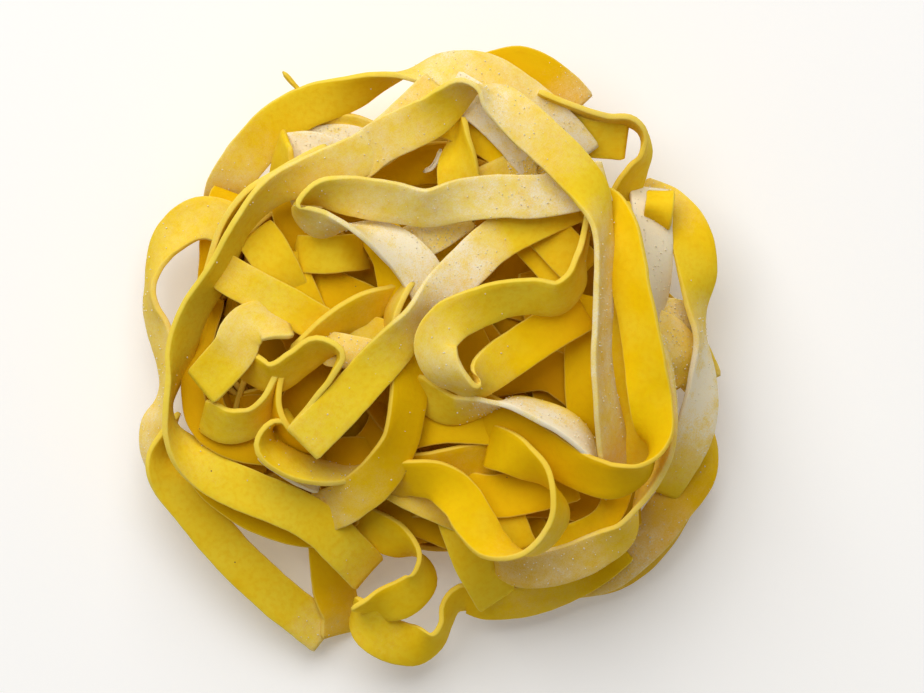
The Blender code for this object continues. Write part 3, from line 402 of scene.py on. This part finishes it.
@dataclass(frozen=True)
class PastaFinish:
    """Egg dough: mottled pale to deep yellow, pale cut edges, flour and painted sheen, painted shade, rare
    specks.
    """

    pale: tuple[float, float, float] = (0.88, 0.67, 0.040)
    deep: tuple[float, float, float] = (0.87, 0.560, 0.002)
    # Painted shade: the orange-brown that deep strands and the heap are mixed toward, standing in for shadow.
    painted_shade: tuple[float, float, float] = (0.58, 0.28, 0.001)
    cut: tuple[float, float, float] = (0.90, 0.72, 0.14)
    # Flour white, also used as a painted sheen on faces that would catch the window light.
    flour_and_sheen: tuple[float, float, float] = (0.90, 0.81, 0.60)
    mottle: tuple[float, float, float] = (0.82, 0.48, 0.002)
    speck: tuple[float, float, float] = (0.30, 0.16, 0.04)
    roughness: float = 0.68

    def material(self) -> bpy.types.Material:
        """Makes the dough material.

        Returns:
            The node material, which reads the ribbon mesh's attributes for flow, flour with painted sheen,
            tone with painted shade, and rim.
        """
        material = bpy.data.materials.new("egg_dough")
        material.use_nodes = True
        tree = NodeTree(material.node_tree)
        shader = material.node_tree.nodes["Principled BSDF"]
        flow = tree.attribute("flow", "Vector")
        patches = tree.noise(flow, 0.13, 3.0)
        mottle = tree.noise(flow, 1.1, 4.0)
        grain = tree.noise(flow, 5.0, 3.0)
        drift = tree.noise(flow, 0.42, 5.0)

        # Tone up to 1 mixes pale to deep dough; above 1 it paints shade, darkening deep strands as if in
        # shadow.
        depth = tree.attribute("tone", "Fac")
        tone = tree.math("ADD", depth, tree.spread(patches, -0.30, 0.30))
        dough = tree.mix(tone, self.pale, self.deep)
        dough = tree.mix(tree.spread(mottle, -0.25, 0.45), dough, self.mottle)
        # Painted shade: tone above 1 mixes the dough toward the painted shade colour.
        dough = tree.mix(tree.math("SUBTRACT", depth, 1.0), dough, self.painted_shade)
        dough = tree.mix(tree.math("MULTIPLY", tree.attribute("rim", "Fac"), 0.42), dough, self.cut)
        dough = tree.mix(self.specks(tree, flow), dough, self.speck)

        # Flour cover: partly real flour dust, partly a painted sheen that whitens faces where window light
        # falls.
        amount = tree.attribute("flour_and_sheen", "Fac")
        cover = tree.math("MULTIPLY", amount, tree.spread(drift, 0.5, 1.5))
        cover = tree.math("ADD", cover, tree.math("MULTIPLY", tree.spread(grain, -0.5, 0.5), cover))
        cover = tree.math("SUBTRACT", cover, 0.04)
        tree.link(tree.mix(cover, dough, self.flour_and_sheen), shader.inputs["Base Color"])

        rough = tree.math("ADD", tree.math("MULTIPLY", cover, 0.25), self.roughness)
        tree.link(rough, shader.inputs["Roughness"])
        shader.inputs["Specular IOR Level"].default_value = 0.05
        shader.inputs["Subsurface Weight"].default_value = 0.08
        shader.inputs["Subsurface Radius"].default_value = (0.0016, 0.0010, 0.0003)
        shader.inputs["Subsurface Scale"].default_value = 1.0

        bumps = tree.bump(mottle, 0.10, 0.5, None)
        bumps = tree.bump(grain, 0.035, 0.6, bumps)
        tree.link(bumps, shader.inputs["Normal"])
        return material

    def specks(self, tree: "NodeTree", flow: bpy.types.NodeSocket) -> bpy.types.NodeSocket:
        """Makes the mask of the rare dark specks of bran.

        Args:
            tree: The node tree that gets the nodes.
            flow: Coordinates along and across the ribbon, in mm.

        Returns:
            A socket that is 1 inside a speck and 0 elsewhere.
        """
        cells = tree.node("ShaderNodeTexVoronoi")
        cells.inputs["Scale"].default_value = 0.33
        tree.link(flow, cells.inputs["Vector"])
        near = tree.math("LESS_THAN", cells.outputs["Distance"], 0.045)
        chosen = tree.node("ShaderNodeSeparateColor")
        tree.link(cells.outputs["Color"], chosen.inputs["Color"])
        rare = tree.math("LESS_THAN", chosen.outputs["Red"], 0.10)
        return tree.math("MULTIPLY", near, rare)


@dataclass(frozen=True)
class FlourFinish:
    """Loose flour: dull, warm white."""

    colour: tuple[float, float, float] = (0.88, 0.85, 0.76)
    dull: tuple[float, float, float] = (0.80, 0.72, 0.48)

    def material(self) -> bpy.types.Material:
        """Makes the flour material, with a slight change of shade from grain to grain."""
        material = bpy.data.materials.new("loose_flour")
        material.use_nodes = True
        tree = NodeTree(material.node_tree)
        shader = material.node_tree.nodes["Principled BSDF"]
        place = tree.node("ShaderNodeTexCoord").outputs["Object"]
        shade = tree.noise(place, 900.0, 1.0)
        tree.link(tree.mix(shade, self.colour, self.dull), shader.inputs["Base Color"])
        shader.inputs["Roughness"].default_value = 0.9
        return material


class NodeTree:
    """Short ways to add and join shader nodes."""

    def __init__(self, tree: bpy.types.NodeTree) -> None:
        """Keeps the tree that the nodes go into."""
        self.tree = tree

    def node(self, kind: str) -> bpy.types.Node:
        """Adds one node of this kind."""
        return self.tree.nodes.new(kind)

    def link(self, source: bpy.types.NodeSocket, target: bpy.types.NodeSocket) -> None:
        """Joins two sockets."""
        self.tree.links.new(source, target)

    def feed(self, value: object, target: bpy.types.NodeSocket) -> None:
        """Gives a socket another socket, a colour or a number.

        Args:
            value: A socket, a colour of three numbers, or a number.
            target: The socket that takes it.
        """
        if isinstance(value, bpy.types.NodeSocket):
            self.link(value, target)
        elif isinstance(value, tuple):
            target.default_value = (*value, 1.0)
        else:
            target.default_value = value

    def attribute(self, name: str, output: str) -> bpy.types.NodeSocket:
        """Reads one of the ribbon mesh's attributes."""
        node = self.node("ShaderNodeAttribute")
        node.attribute_name = name
        return node.outputs[output]

    def noise(self, place: bpy.types.NodeSocket, scale: float, detail: float) -> bpy.types.NodeSocket:
        """Adds fractal noise.

        Args:
            place: The coordinates that it follows.
            scale: Its scale, in waves a unit.
            detail: How many finer octaves it has.

        Returns:
            The noise value's socket.
        """
        node = self.node("ShaderNodeTexNoise")
        node.inputs["Scale"].default_value = scale
        node.inputs["Detail"].default_value = detail
        self.link(place, node.inputs["Vector"])
        return node.outputs["Fac"]

    def spread(self, value: bpy.types.NodeSocket, low: float, high: float) -> bpy.types.NodeSocket:
        """Stretches the middle range of a noise value to run from low to high, clamped."""
        node = self.node("ShaderNodeMapRange")
        node.inputs["From Min"].default_value = 0.3
        node.inputs["From Max"].default_value = 0.7
        node.inputs["To Min"].default_value = low
        node.inputs["To Max"].default_value = high
        self.link(value, node.inputs["Value"])
        return node.outputs["Result"]

    def math(self, operation: str, first: object, second: object) -> bpy.types.NodeSocket:
        """Adds a math node.

        Args:
            operation: The operation's name in Blender.
            first: A socket or number.
            second: A socket or number.

        Returns:
            The result's socket.
        """
        node = self.node("ShaderNodeMath")
        node.operation = operation
        self.feed(first, node.inputs[0])
        self.feed(second, node.inputs[1])
        return node.outputs[0]

    def mix(self, share: object, first: object, second: object) -> bpy.types.NodeSocket:
        """Mixes two colours.

        Args:
            share: How much of the second shows, a socket or number, clamped to 0 to 1.
            first: A colour or colour socket.
            second: A colour or colour socket.

        Returns:
            The mixed colour's socket.
        """
        node = self.node("ShaderNodeMix")
        node.data_type = "RGBA"
        node.clamp_factor = True
        self.feed(share, node.inputs["Factor"])
        colours = [socket for socket in node.inputs if socket.type == "RGBA"]
        self.feed(first, colours[0])
        self.feed(second, colours[1])
        return next(socket for socket in node.outputs if socket.type == "RGBA")

    def bump(self, height: object, depth: float, strength: float, below: object) -> bpy.types.NodeSocket:
        """Adds relief to the normals.

        Args:
            height: The height socket.
            depth: Its full depth, in mm.
            strength: How strongly it shows, 0 to 1.
            below: The normal socket of the relief under it, or None.

        Returns:
            The normal's socket.
        """
        node = self.node("ShaderNodeBump")
        node.inputs["Strength"].default_value = strength
        node.inputs["Distance"].default_value = depth * MM
        self.feed(height, node.inputs["Height"])
        if below is not None:
            self.link(below, node.inputs["Normal"])
        return node.outputs["Normal"]


def smooth_route(points: tuple, step: float) -> np.ndarray:
    """Runs a smooth curve through the points of a route.

    Args:
        points: Rows of (x, y, height, lean), in mm and degrees.
        step: About how far apart the samples lie, in mm.

    Returns:
        One row of (x, y, height, lean) for each sample.
    """
    rows = np.array(points, float)
    runs = np.linalg.norm(np.diff(rows[:, :3], axis=0), axis=1)
    marks = np.concatenate([[0.0], np.cumsum(runs)])
    slopes = np.empty_like(rows)
    chords = np.diff(rows, axis=0) / runs[:, None]
    slopes[0] = chords[0]
    slopes[-1] = chords[-1]
    share = (runs[1:] / (runs[1:] + runs[:-1]))[:, None]
    slopes[1:-1] = chords[:-1] * share + chords[1:] * (1.0 - share)
    count = max(3, round(marks[-1] / step) + 1)
    at = np.linspace(0.0, marks[-1], count)
    span = np.clip(np.searchsorted(marks, at, side="right") - 1, 0, len(rows) - 2)
    run = runs[span][:, None]
    u = ((at - marks[span]) / runs[span])[:, None]
    return (
        rows[span] * (2 * u**3 - 3 * u**2 + 1)
        + slopes[span] * run * (u**3 - 2 * u**2 + u)
        + rows[span + 1] * (3 * u**2 - 2 * u**3)
        + slopes[span + 1] * run * (u**3 - u**2)
    )


def spread_along(values: tuple, along: np.ndarray) -> np.ndarray:
    """Spreads a few values evenly along a route.

    Args:
        values: The values, from the start of the route to its end.
        along: The distance of each place from the start.

    Returns:
        The value at each place.
    """
    count = max(2, len(values))
    return np.interp(along, np.linspace(0.0, along[-1], count), np.resize(values, count))


def ribbon_frame(route: np.ndarray) -> tuple[np.ndarray, np.ndarray, np.ndarray]:
    """Works out how a ribbon is turned along its route.

    Args:
        route: Rows of (x, y, height, lean).

    Returns:
        Its middle line, the direction across it to its left edge, and its face's normal.
    """
    middle = route[:, :3]
    ahead = np.gradient(middle, axis=0)
    ahead /= np.linalg.norm(ahead, axis=1)[:, None]
    side = np.cross([0.0, 0.0, 1.0], ahead)
    side /= np.linalg.norm(side, axis=1)[:, None]
    up = np.cross(ahead, side)
    lean = np.radians(route[:, 3])[:, None]
    across = np.cos(lean) * side + np.sin(lean) * up
    return middle, across, np.cross(ahead, across)


def wave(values: np.ndarray, length: float, key: float) -> np.ndarray:
    """Smooth noise between about -1 and 1 along a line.

    Args:
        values: Places along the line, in mm.
        length: The noise's rough wavelength, in mm.
        key: A number that picks one noise from many.

    Returns:
        The noise at each place.
    """
    return np.array([noise.noise(Vector((value / length, key, 0.37 * key))) for value in values])


def place_piece(name: str, mesh: bpy.types.Mesh) -> bpy.types.Object:
    """Puts a piece of the nest in the scene, on the root body and in place of the nest's CAD node.

    Args:
        name: The piece's name.
        mesh: Its mesh.

    Returns:
        The new object.
    """
    piece = bpy.data.objects.new(name, mesh)
    bpy.context.scene.collection.objects.link(piece)
    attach(piece, "root")
    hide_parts("pasta_nest")
    return piece


@dataclass
class MeshParts:
    """Points, faces and attributes of several ribbons that become one mesh."""

    verts: list
    faces: list
    flow: list
    # Flour also carries painted sheen.
    flour_and_sheen: list
    # Tone above 1 carries painted shade.
    tone: list
    rim: list
    count: int = 0

    @classmethod
    def empty(cls) -> "MeshParts":
        """Starts with nothing in it."""
        return cls([], [], [], [], [], [])

    def triangles(self) -> int:
        """Counts the triangles so far."""
        return sum(len(face) - 2 for face in self.faces)

    def to_object(self, name: str, material: bpy.types.Material) -> bpy.types.Object:
        """Makes the object and dresses it.

        Args:
            name: The object's name.
            material: Its material.

        Returns:
            The new object, which rides on the root body and stands for the nest's CAD node.
        """
        mesh = bpy.data.meshes.new(name)
        points = np.concatenate(self.verts)
        points = (points - [CENTRE[0], CENTRE[1], 0.0]) * MM
        mesh.from_pydata(points.tolist(), [], self.faces)
        for key, values, kind in (
            ("flow", self.flow, "FLOAT_VECTOR"),
            ("flour_and_sheen", self.flour_and_sheen, "FLOAT"),
            ("tone", self.tone, "FLOAT"),
            ("rim", self.rim, "FLOAT"),
        ):
            layer = mesh.attributes.new(key, kind, "POINT")
            field = "vector" if kind == "FLOAT_VECTOR" else "value"
            layer.data.foreach_set(field, np.concatenate(values).astype(np.float32).ravel())
        mesh.shade_smooth()
        mesh.materials.append(material)
        return place_piece(name, mesh)


@dataclass(frozen=True)
class RibbonLoft:
    """Sweeps a rounded ribbon section along a route, uneven as rolled and cut dough is."""

    thickness: float = 1.0
    corner: float = 0.24
    step: float = 0.7
    face_points: int = 7
    width_play: float = 0.035
    edge_play: float = 0.11
    cup: float = 0.30
    ripple: float = 0.30

    def section(self) -> tuple[np.ndarray, np.ndarray, np.ndarray]:
        """Lays out the section's points.

        Returns:
            For each point its place across, -1 to 1, its inset from the edge in mm, and its height, -1 to 1.
        """
        across = np.linspace(-1.0, 1.0, self.face_points)
        inset = np.zeros(self.face_points)
        inset[[0, -1]] = self.corner
        half = self.thickness / 2
        bend = 1.0 - 0.3 * self.corner / half
        low = 1.0 - self.corner / half
        rounding = 0.3 * self.corner
        top = (across, inset, np.ones(self.face_points))
        right = (np.ones(4), np.array([rounding, 0.0, 0.0, rounding]), np.array([bend, low, -low, -bend]))
        parts = []
        for first, second, flip in zip(top, right, (-1, 1, -1)):
            parts.append(np.concatenate([first, second, first * flip, second * flip]))
        return parts[0], parts[1], parts[2]

    def add(self, strand: Strand, parts: MeshParts, key: int) -> None:
        """Adds one strand's mesh to the parts.

        Args:
            strand: The strand.
            parts: What it is added to.
            key: A number that makes its unevenness its own.
        """
        route = smooth_route(strand.points, self.step)
        middle, across, normal = ribbon_frame(route)
        runs = np.linalg.norm(np.diff(middle, axis=0), axis=1)
        along = np.concatenate([[0.0], np.cumsum(runs)])
        place, inset, height = self.section()
        rings = len(route)
        half = strand.width / 2 * (1.0 + self.width_play * wave(along, 14.0, key + 0.5))
        left = self.edge_play * (wave(along, 3.6, key + 9.1) + 0.6 * wave(along, 1.5, key + 3.3))
        right = self.edge_play * (wave(along, 3.6, key + 21.7) + 0.6 * wave(along, 1.5, key + 5.9))
        cup = self.cup * wave(along, 11.0, key + 31.3)
        lift_left = self.ripple * wave(along, 7.0, key + 43.9)
        lift_right = self.ripple * wave(along, 7.0, key + 57.1)
        thick = self.thickness / 2 * (1.0 + 0.10 * wave(along, 6.0, key + 71.7))
        ends = np.clip(np.minimum(along, along[-1] - along) / 0.5, 0.0, 1.0)
        shrink = 0.25 * (1.0 - ends)

        reach = half[:, None] + np.where(place > 0, left[:, None], right[:, None]) * np.abs(place) ** 4
        offset = place * (reach - shrink[:, None]) - np.sign(place) * inset
        edge = np.abs(place) ** 2
        lift = np.where(place > 0, lift_left[:, None], lift_right[:, None])
        rise = cup[:, None] * (1.0 - edge) + lift * edge
        rise = rise + height * (thick - 0.6 * shrink)[:, None]
        verts = middle[:, None] + across[:, None] * offset[..., None] + normal[:, None] * rise[..., None]

        size = len(place)
        base = parts.count
        for ring in range(rings - 1):
            for k in range(size):
                here = base + ring * size + k
                beside = base + ring * size + (k + 1) % size
                parts.faces.append((here, here + size, beside + size, beside))
        parts.faces.append(tuple(range(base, base + size)))
        parts.faces.append(tuple(reversed(range(base + (rings - 1) * size, base + rings * size))))
        parts.verts.append(verts.reshape(-1, 3))
        parts.count += rings * size

        flow = np.stack(
            [
                np.broadcast_to(along[:, None], (rings, size)),
                place * half[:, None],
                np.broadcast_to(height * thick[:, None] + 41.0 * key, (rings, size)),
            ],
            axis=-1,
        )
        # Flour here is real dust and also painted sheen; tone above 1 is painted shade.
        flour_and_sheen = spread_along(strand.flour_and_sheen, along)[:, None]
        flour_and_sheen = flour_and_sheen * np.clip(1.0 + strand.edge_flour * (place * 2.0 - 1.0), 0, 1)
        parts.flow.append(flow.reshape(-1, 3))
        parts.flour_and_sheen.append(flour_and_sheen.ravel())
        parts.tone.append(np.repeat(spread_along(strand.tone, along), size))
        parts.rim.append(np.tile((np.abs(height) < 0.99).astype(float), rings))


@dataclass(frozen=True)
class HiddenStrands:
    """Strands laid by a rule where the nest is deep: inside it, round its wall and under it."""

    heart_count: int = 46
    wall_count: int = 22
    floor_count: int = 12
    radii: tuple[float, float] = (35.0, 33.0)
    middle: tuple[float, float] = (-1.0, 1.0)
    width: float = 7.0
    seed: int = 11

    def heart(self) -> list[Strand]:
        """Bent strands that lie across one another inside the nest.

        Returns:
            The strands, lowest first.
        """
        draw = random.Random(self.seed)
        strands = []
        for k in range(self.heart_count):
            level = 7.0 + 13.0 * k / (self.heart_count - 1)
            reach = math.sqrt(draw.random()) * 0.72
            turn = draw.uniform(0.0, 2 * math.pi)
            heading = draw.uniform(0.0, 2 * math.pi)
            bend = draw.uniform(-1.7, 1.7)
            length = draw.uniform(24.0, 44.0)
            x = self.middle[0] + self.radii[0] * reach * math.cos(turn)
            y = self.middle[1] + self.radii[1] * reach * math.sin(turn)
            points = []
            for step in range(6):
                part = step / 5 - 0.5
                angle = heading + bend * part
                px = x + length * part * math.cos(angle)
                py = y + length * part * math.sin(angle)
                away = math.hypot(
                    (px - self.middle[0]) / self.radii[0], (py - self.middle[1]) / self.radii[1]
                )
                pull = min(1.0, 0.93 / max(away, 1e-6))
                px = self.middle[0] + (px - self.middle[0]) * pull
                py = self.middle[1] + (py - self.middle[1]) * pull
                drop = 4.5 * min(away, 1.0) ** 3
                height = max(2.5, level - drop + draw.uniform(-1.0, 1.0))
                points.append((px, py, height, draw.uniform(-28.0, 28.0)))
            # Painted shade: a tone of 1.5 to 2 darkens these deep strands as if in shadow.
            tone = (draw.uniform(1.5, 2.0),)
            strands.append(Strand(f"heart_{k}", self.width, tuple(points), (0.0, 0.03), tone))
        return strands

    def wall(self) -> list[Strand]:
        """Strands wound round the side, nearly on edge.

        Returns:
            The strands, lowest first.
        """
        draw = random.Random(self.seed + 1)
        strands = []
        for k in range(self.wall_count):
            start = 2.4 * k + draw.uniform(0.0, 0.6)
            sweep = draw.uniform(1.2, 2.2)
            low = 3.9 + 8.0 * k / (self.wall_count - 1) + draw.uniform(-0.2, 1.0)
            rise = draw.uniform(-0.2, 3.0)
            lean = draw.uniform(-100.0, -70.0)
            points = []
            for step in range(8):
                part = step / 7
                angle = start + sweep * part
                front = max(0.0, -math.sin(angle)) ** 3
                inset = 1.0 + 0.03 * math.sin(3.1 * angle + k) - 0.14 * (2 * part - 1) ** 4 - 0.13 * front
                inset -= 0.012 * (low + rise * part - 8.0)
                points.append(
                    (
                        self.middle[0] + (self.radii[0] + 1.0) * inset * math.cos(angle),
                        self.middle[1] + (self.radii[1] + 1.0) * inset * math.sin(angle),
                        max(3.9, low + rise * part - 7.0 * front),
                        lean + 14.0 * math.sin(2.3 * angle),
                    )
                )
            # Painted shade: a tone of 1.2 to 1.7 darkens the wall strands as if in shadow.
            tone = (draw.uniform(1.2, 1.7),)
            strands.append(Strand(f"wall_{k}", self.width, tuple(points), (0.02, 0.06), tone))
        return strands

    def floor(self) -> list[Strand]:
        """Strands that lie flat under the nest.

        Returns:
            The strands, outermost first.
        """
        draw = random.Random(self.seed + 2)
        strands = []
        for k in range(self.floor_count):
            start = 2.0 * k + draw.uniform(0.0, 0.8)
            sweep = draw.uniform(1.5, 2.6)
            reach = 0.86 - 0.62 * k / (self.floor_count - 1)
            points = []
            for step in range(8):
                part = step / 7
                angle = start + sweep * part
                inset = reach * (1.0 + 0.05 * math.sin(2.7 * angle + k))
                height = 1.1 + 0.9 * (k % 3) + 2.6 * reach**2 * (0.3 + part)
                points.append(
                    (
                        self.middle[0] + self.radii[0] * inset * math.cos(angle),
                        self.middle[1] + self.radii[1] * inset * math.sin(angle),
                        height,
                        -22.0 * reach,
                    )
                )
            # Painted shade: a tone of 1.2 to 1.7 darkens the floor strands as if in shadow.
            tone = (draw.uniform(1.2, 1.7),)
            strands.append(Strand(f"floor_{k}", self.width, tuple(points), (0.05, 0.1), tone))
        return strands


@dataclass(frozen=True)
class InnerHeap:
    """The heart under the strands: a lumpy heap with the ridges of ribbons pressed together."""

    radii: tuple[float, float, float] = (33.0, 31.0, 8.0)
    middle: tuple[float, float, float] = (-1.0, 1.0, 7.2)
    sectors: int = 150
    rings: int = 70
    ridge: float = 0.9

    def build(self, material: bpy.types.Material) -> bpy.types.Object:
        """Builds and dresses the heap.

        Args:
            material: The dough material.

        Returns:
            The heap's object.
        """
        parts = MeshParts.empty()
        points = []
        for ring in range(self.rings + 1):
            polar = math.pi * ring / self.rings
            for sector in range(self.sectors):
                turn = 2 * math.pi * sector / self.sectors
                flat = math.sin(polar)
                ray = Vector((flat * math.cos(turn), flat * math.sin(turn), math.cos(polar)))
                lump = noise.noise(ray * 2.1) + 0.5 * abs(noise.noise(ray * 6.0))
                swell = self.ridge * lump * 2.0
                place = [self.middle[i] + (self.radii[i] + swell) * ray[i] for i in range(3)]
                points.append((place[0], place[1], max(place[2], 0.4)))
        for ring in range(self.rings):
            for sector in range(self.sectors):
                here = ring * self.sectors + sector
                beside = ring * self.sectors + (sector + 1) % self.sectors
                parts.faces.append((here, here + self.sectors, beside + self.sectors, beside))
        verts = np.array(points)
        parts.verts.append(verts)
        parts.flow.append(verts)
        parts.flour_and_sheen.append(np.zeros(len(verts)))
        # Painted shade: a tone of 1.8 darkens the heap as if it lay in the nest's shadow.
        parts.tone.append(np.full(len(verts), 1.8))
        parts.rim.append(np.zeros(len(verts)))
        return parts.to_object("inner_heap", material)


@dataclass(frozen=True)
class LooseFlour:
    """Grains of flour that lie on the dusty faces, as small uneven grains."""

    per_strand: int = 260
    narrowest: float = 2.0
    full_share: float = 0.8
    full_chance: float = 0.5
    least: float = 0.07
    most: float = 0.17
    seed: int = 5

    def build(self, strands: tuple, material: bpy.types.Material) -> bpy.types.Object:
        """Scatters the grains and makes them one mesh.

        Args:
            strands: The strands that carry grains.
            material: The flour material.

        Returns:
            The grains' object.
        """
        draw = random.Random(self.seed)
        verts = []
        faces = []
        for strand in strands:
            if strand.width < self.narrowest:
                continue
            route = smooth_route(strand.points, 0.5)
            middle, across, normal = ribbon_frame(route)
            share = spread_along(strand.flour_and_sheen, np.linspace(0.0, 1.0, len(route)))
            for _ in range(self.per_strand):
                ring = draw.randrange(len(route))
                chance = share[ring] * 1.6 if share[ring] < self.full_share else self.full_chance
                if draw.random() > chance:
                    continue
                facing = 1.0 if normal[ring][2] >= 0 else -1.0
                beside = draw.uniform(-0.46, 0.46) * strand.width
                place = middle[ring] + across[ring] * beside + normal[ring] * facing * 0.62
                self.grain(place, draw.uniform(self.least, self.most), draw, verts, faces)
        mesh = bpy.data.meshes.new("loose_flour")
        points = (np.array(verts) - [CENTRE[0], CENTRE[1], 0.0]) * MM
        mesh.from_pydata(points.tolist(), [], faces)
        mesh.materials.append(material)
        return place_piece("loose_flour", mesh)

    def grain(self, place: np.ndarray, size: float, draw: random.Random, verts: list, faces: list) -> None:
        """Adds one grain, a small uneven eight-sided lump.

        Args:
            place: Its middle, in mm.
            size: Its radius, in mm.
            draw: The source of its unevenness.
            verts: The points so far, added to.
            faces: The faces so far, added to.
        """
        base = len(verts)
        for axis in ((1, 0, 0), (0, 1, 0), (-1, 0, 0), (0, -1, 0), (0, 0, 1), (0, 0, -1)):
            reach = size * draw.uniform(0.6, 1.25)
            verts.append([place[i] + axis[i] * reach for i in range(3)])
        for k in range(4):
            faces.append((base + k, base + (k + 1) % 4, base + 4))
            faces.append((base + (k + 1) % 4, base + k, base + 5))


@dataclass(frozen=True)
class Studio:
    """Plain white floor, soft light from the back and above, and the camera straight above."""

    frame_width: float = 147.84
    camera_distance: float = 2000.0
    sensor: float = 36.0
    aim: tuple[float, float, float] = (4.96, 1.20, 18.0)
    key_energy: float = 21.0
    key_size: float = 1.4
    sky: float = 0.24
    lamp_place: tuple[float, float, float] = (-0.25, 0.78, 1.12)
    floor_half: float = 1.6
    floor_glow: float = 0.14

    def floor(self) -> None:
        """Lays the floor."""
        mesh = bpy.data.meshes.new("floor")
        half = self.floor_half
        corners = [(-half, -half, 0.0), (half, -half, 0.0), (half, half, 0.0), (-half, half, 0.0)]
        mesh.from_pydata(corners, [], [(0, 1, 2, 3)])
        material = bpy.data.materials.new("white_floor")
        material.use_nodes = True
        shader = material.node_tree.nodes["Principled BSDF"]
        shader.inputs["Base Color"].default_value = (0.90, 0.90, 0.90, 1.0)
        shader.inputs["Emission Color"].default_value = (1.0, 1.0, 1.0, 1.0)
        shader.inputs["Emission Strength"].default_value = self.floor_glow
        shader.inputs["Roughness"].default_value = 0.8
        shader.inputs["Specular IOR Level"].default_value = 0.1
        mesh.materials.append(material)
        floor = bpy.data.objects.new("floor", mesh)
        floor.location.z = -0.0003
        bpy.context.scene.collection.objects.link(floor)

    def lights(self) -> None:
        """Sets the sky and the large soft light at the back."""
        scene = bpy.context.scene
        world = bpy.data.worlds.new("soft_sky")
        world.use_nodes = True
        background = world.node_tree.nodes["Background"]
        background.inputs["Color"].default_value = (1.0, 0.975, 0.93, 1.0)
        background.inputs["Strength"].default_value = self.sky
        scene.world = world
        data = bpy.data.lights.new("window", "AREA")
        data.energy = self.key_energy
        data.size = self.key_size
        data.color = (1.0, 0.985, 0.96)
        lamp = bpy.data.objects.new("window", data)
        lamp.location = self.lamp_place
        aim = Vector((0.0, 0.0, 0.015)) - lamp.location
        lamp.rotation_euler = aim.to_track_quat("-Z", "Y").to_euler()
        scene.collection.objects.link(lamp)
        scene.view_settings.view_transform = "Standard"
        scene.view_settings.look = "None"

    def camera(self) -> None:
        """Places the long-lens camera straight above the nest."""
        data = bpy.data.cameras.new("camera")
        data.sensor_fit = "HORIZONTAL"
        data.sensor_width = self.sensor
        data.lens = self.sensor * self.camera_distance / self.frame_width
        data.clip_start = 0.1
        data.clip_end = 20.0
        camera = bpy.data.objects.new("camera", data)
        x = (self.aim[0] - CENTRE[0]) * MM
        y = (self.aim[1] - CENTRE[1]) * MM
        camera.location = (x, y, (self.aim[2] + self.camera_distance) * MM)
        bpy.context.scene.collection.objects.link(camera)
        bpy.context.scene.camera = camera


def build_group(
    name: str, strands: list, loft: RibbonLoft, material: bpy.types.Material, key: int
) -> None:
    """Builds a group of strands as one piece and reports it.

    Args:
        name: The piece's name.
        strands: Its strands.
        loft: How they are swept.
        material: Their material.
        key: The first strand's number.
    """
    parts = MeshParts.empty()
    for k, strand in enumerate(strands):
        loft.add(strand, parts, key + k)
    parts.to_object(name, material)
    LOG.info("%s: %d strands, %d triangles", name, len(strands), parts.triangles())


def main() -> None:
    """Builds the nest, the flour on it, the floor, the light and the camera."""
    logging.basicConfig(level=logging.INFO, format="%(message)s")
    dough = PastaFinish().material()
    InnerHeap().build(dough)
    fine = RibbonLoft()
    plain = RibbonLoft(step=1.2, face_points=5)
    for layer in (Layer.RING, Layer.CROWN):
        group = [strand for strand in STRANDS if strand.layer is layer]
        build_group(f"{layer.value}_strands", group, fine, dough, 1 if layer is Layer.RING else 101)
    hidden = HiddenStrands()
    build_group("heart_strands", hidden.heart(), plain, dough, 201)
    build_group("wall_strands", hidden.wall(), plain, dough, 301)
    build_group("floor_strands", hidden.floor(), plain, dough, 401)
    dusty = tuple(strand for strand in STRANDS if max(strand.flour_and_sheen) >= 0.3)
    LooseFlour().build(dusty, FlourFinish().material())
    studio = Studio()
    studio.floor()
    studio.lights()
    studio.camera()


if __name__ == "__main__":
    main()
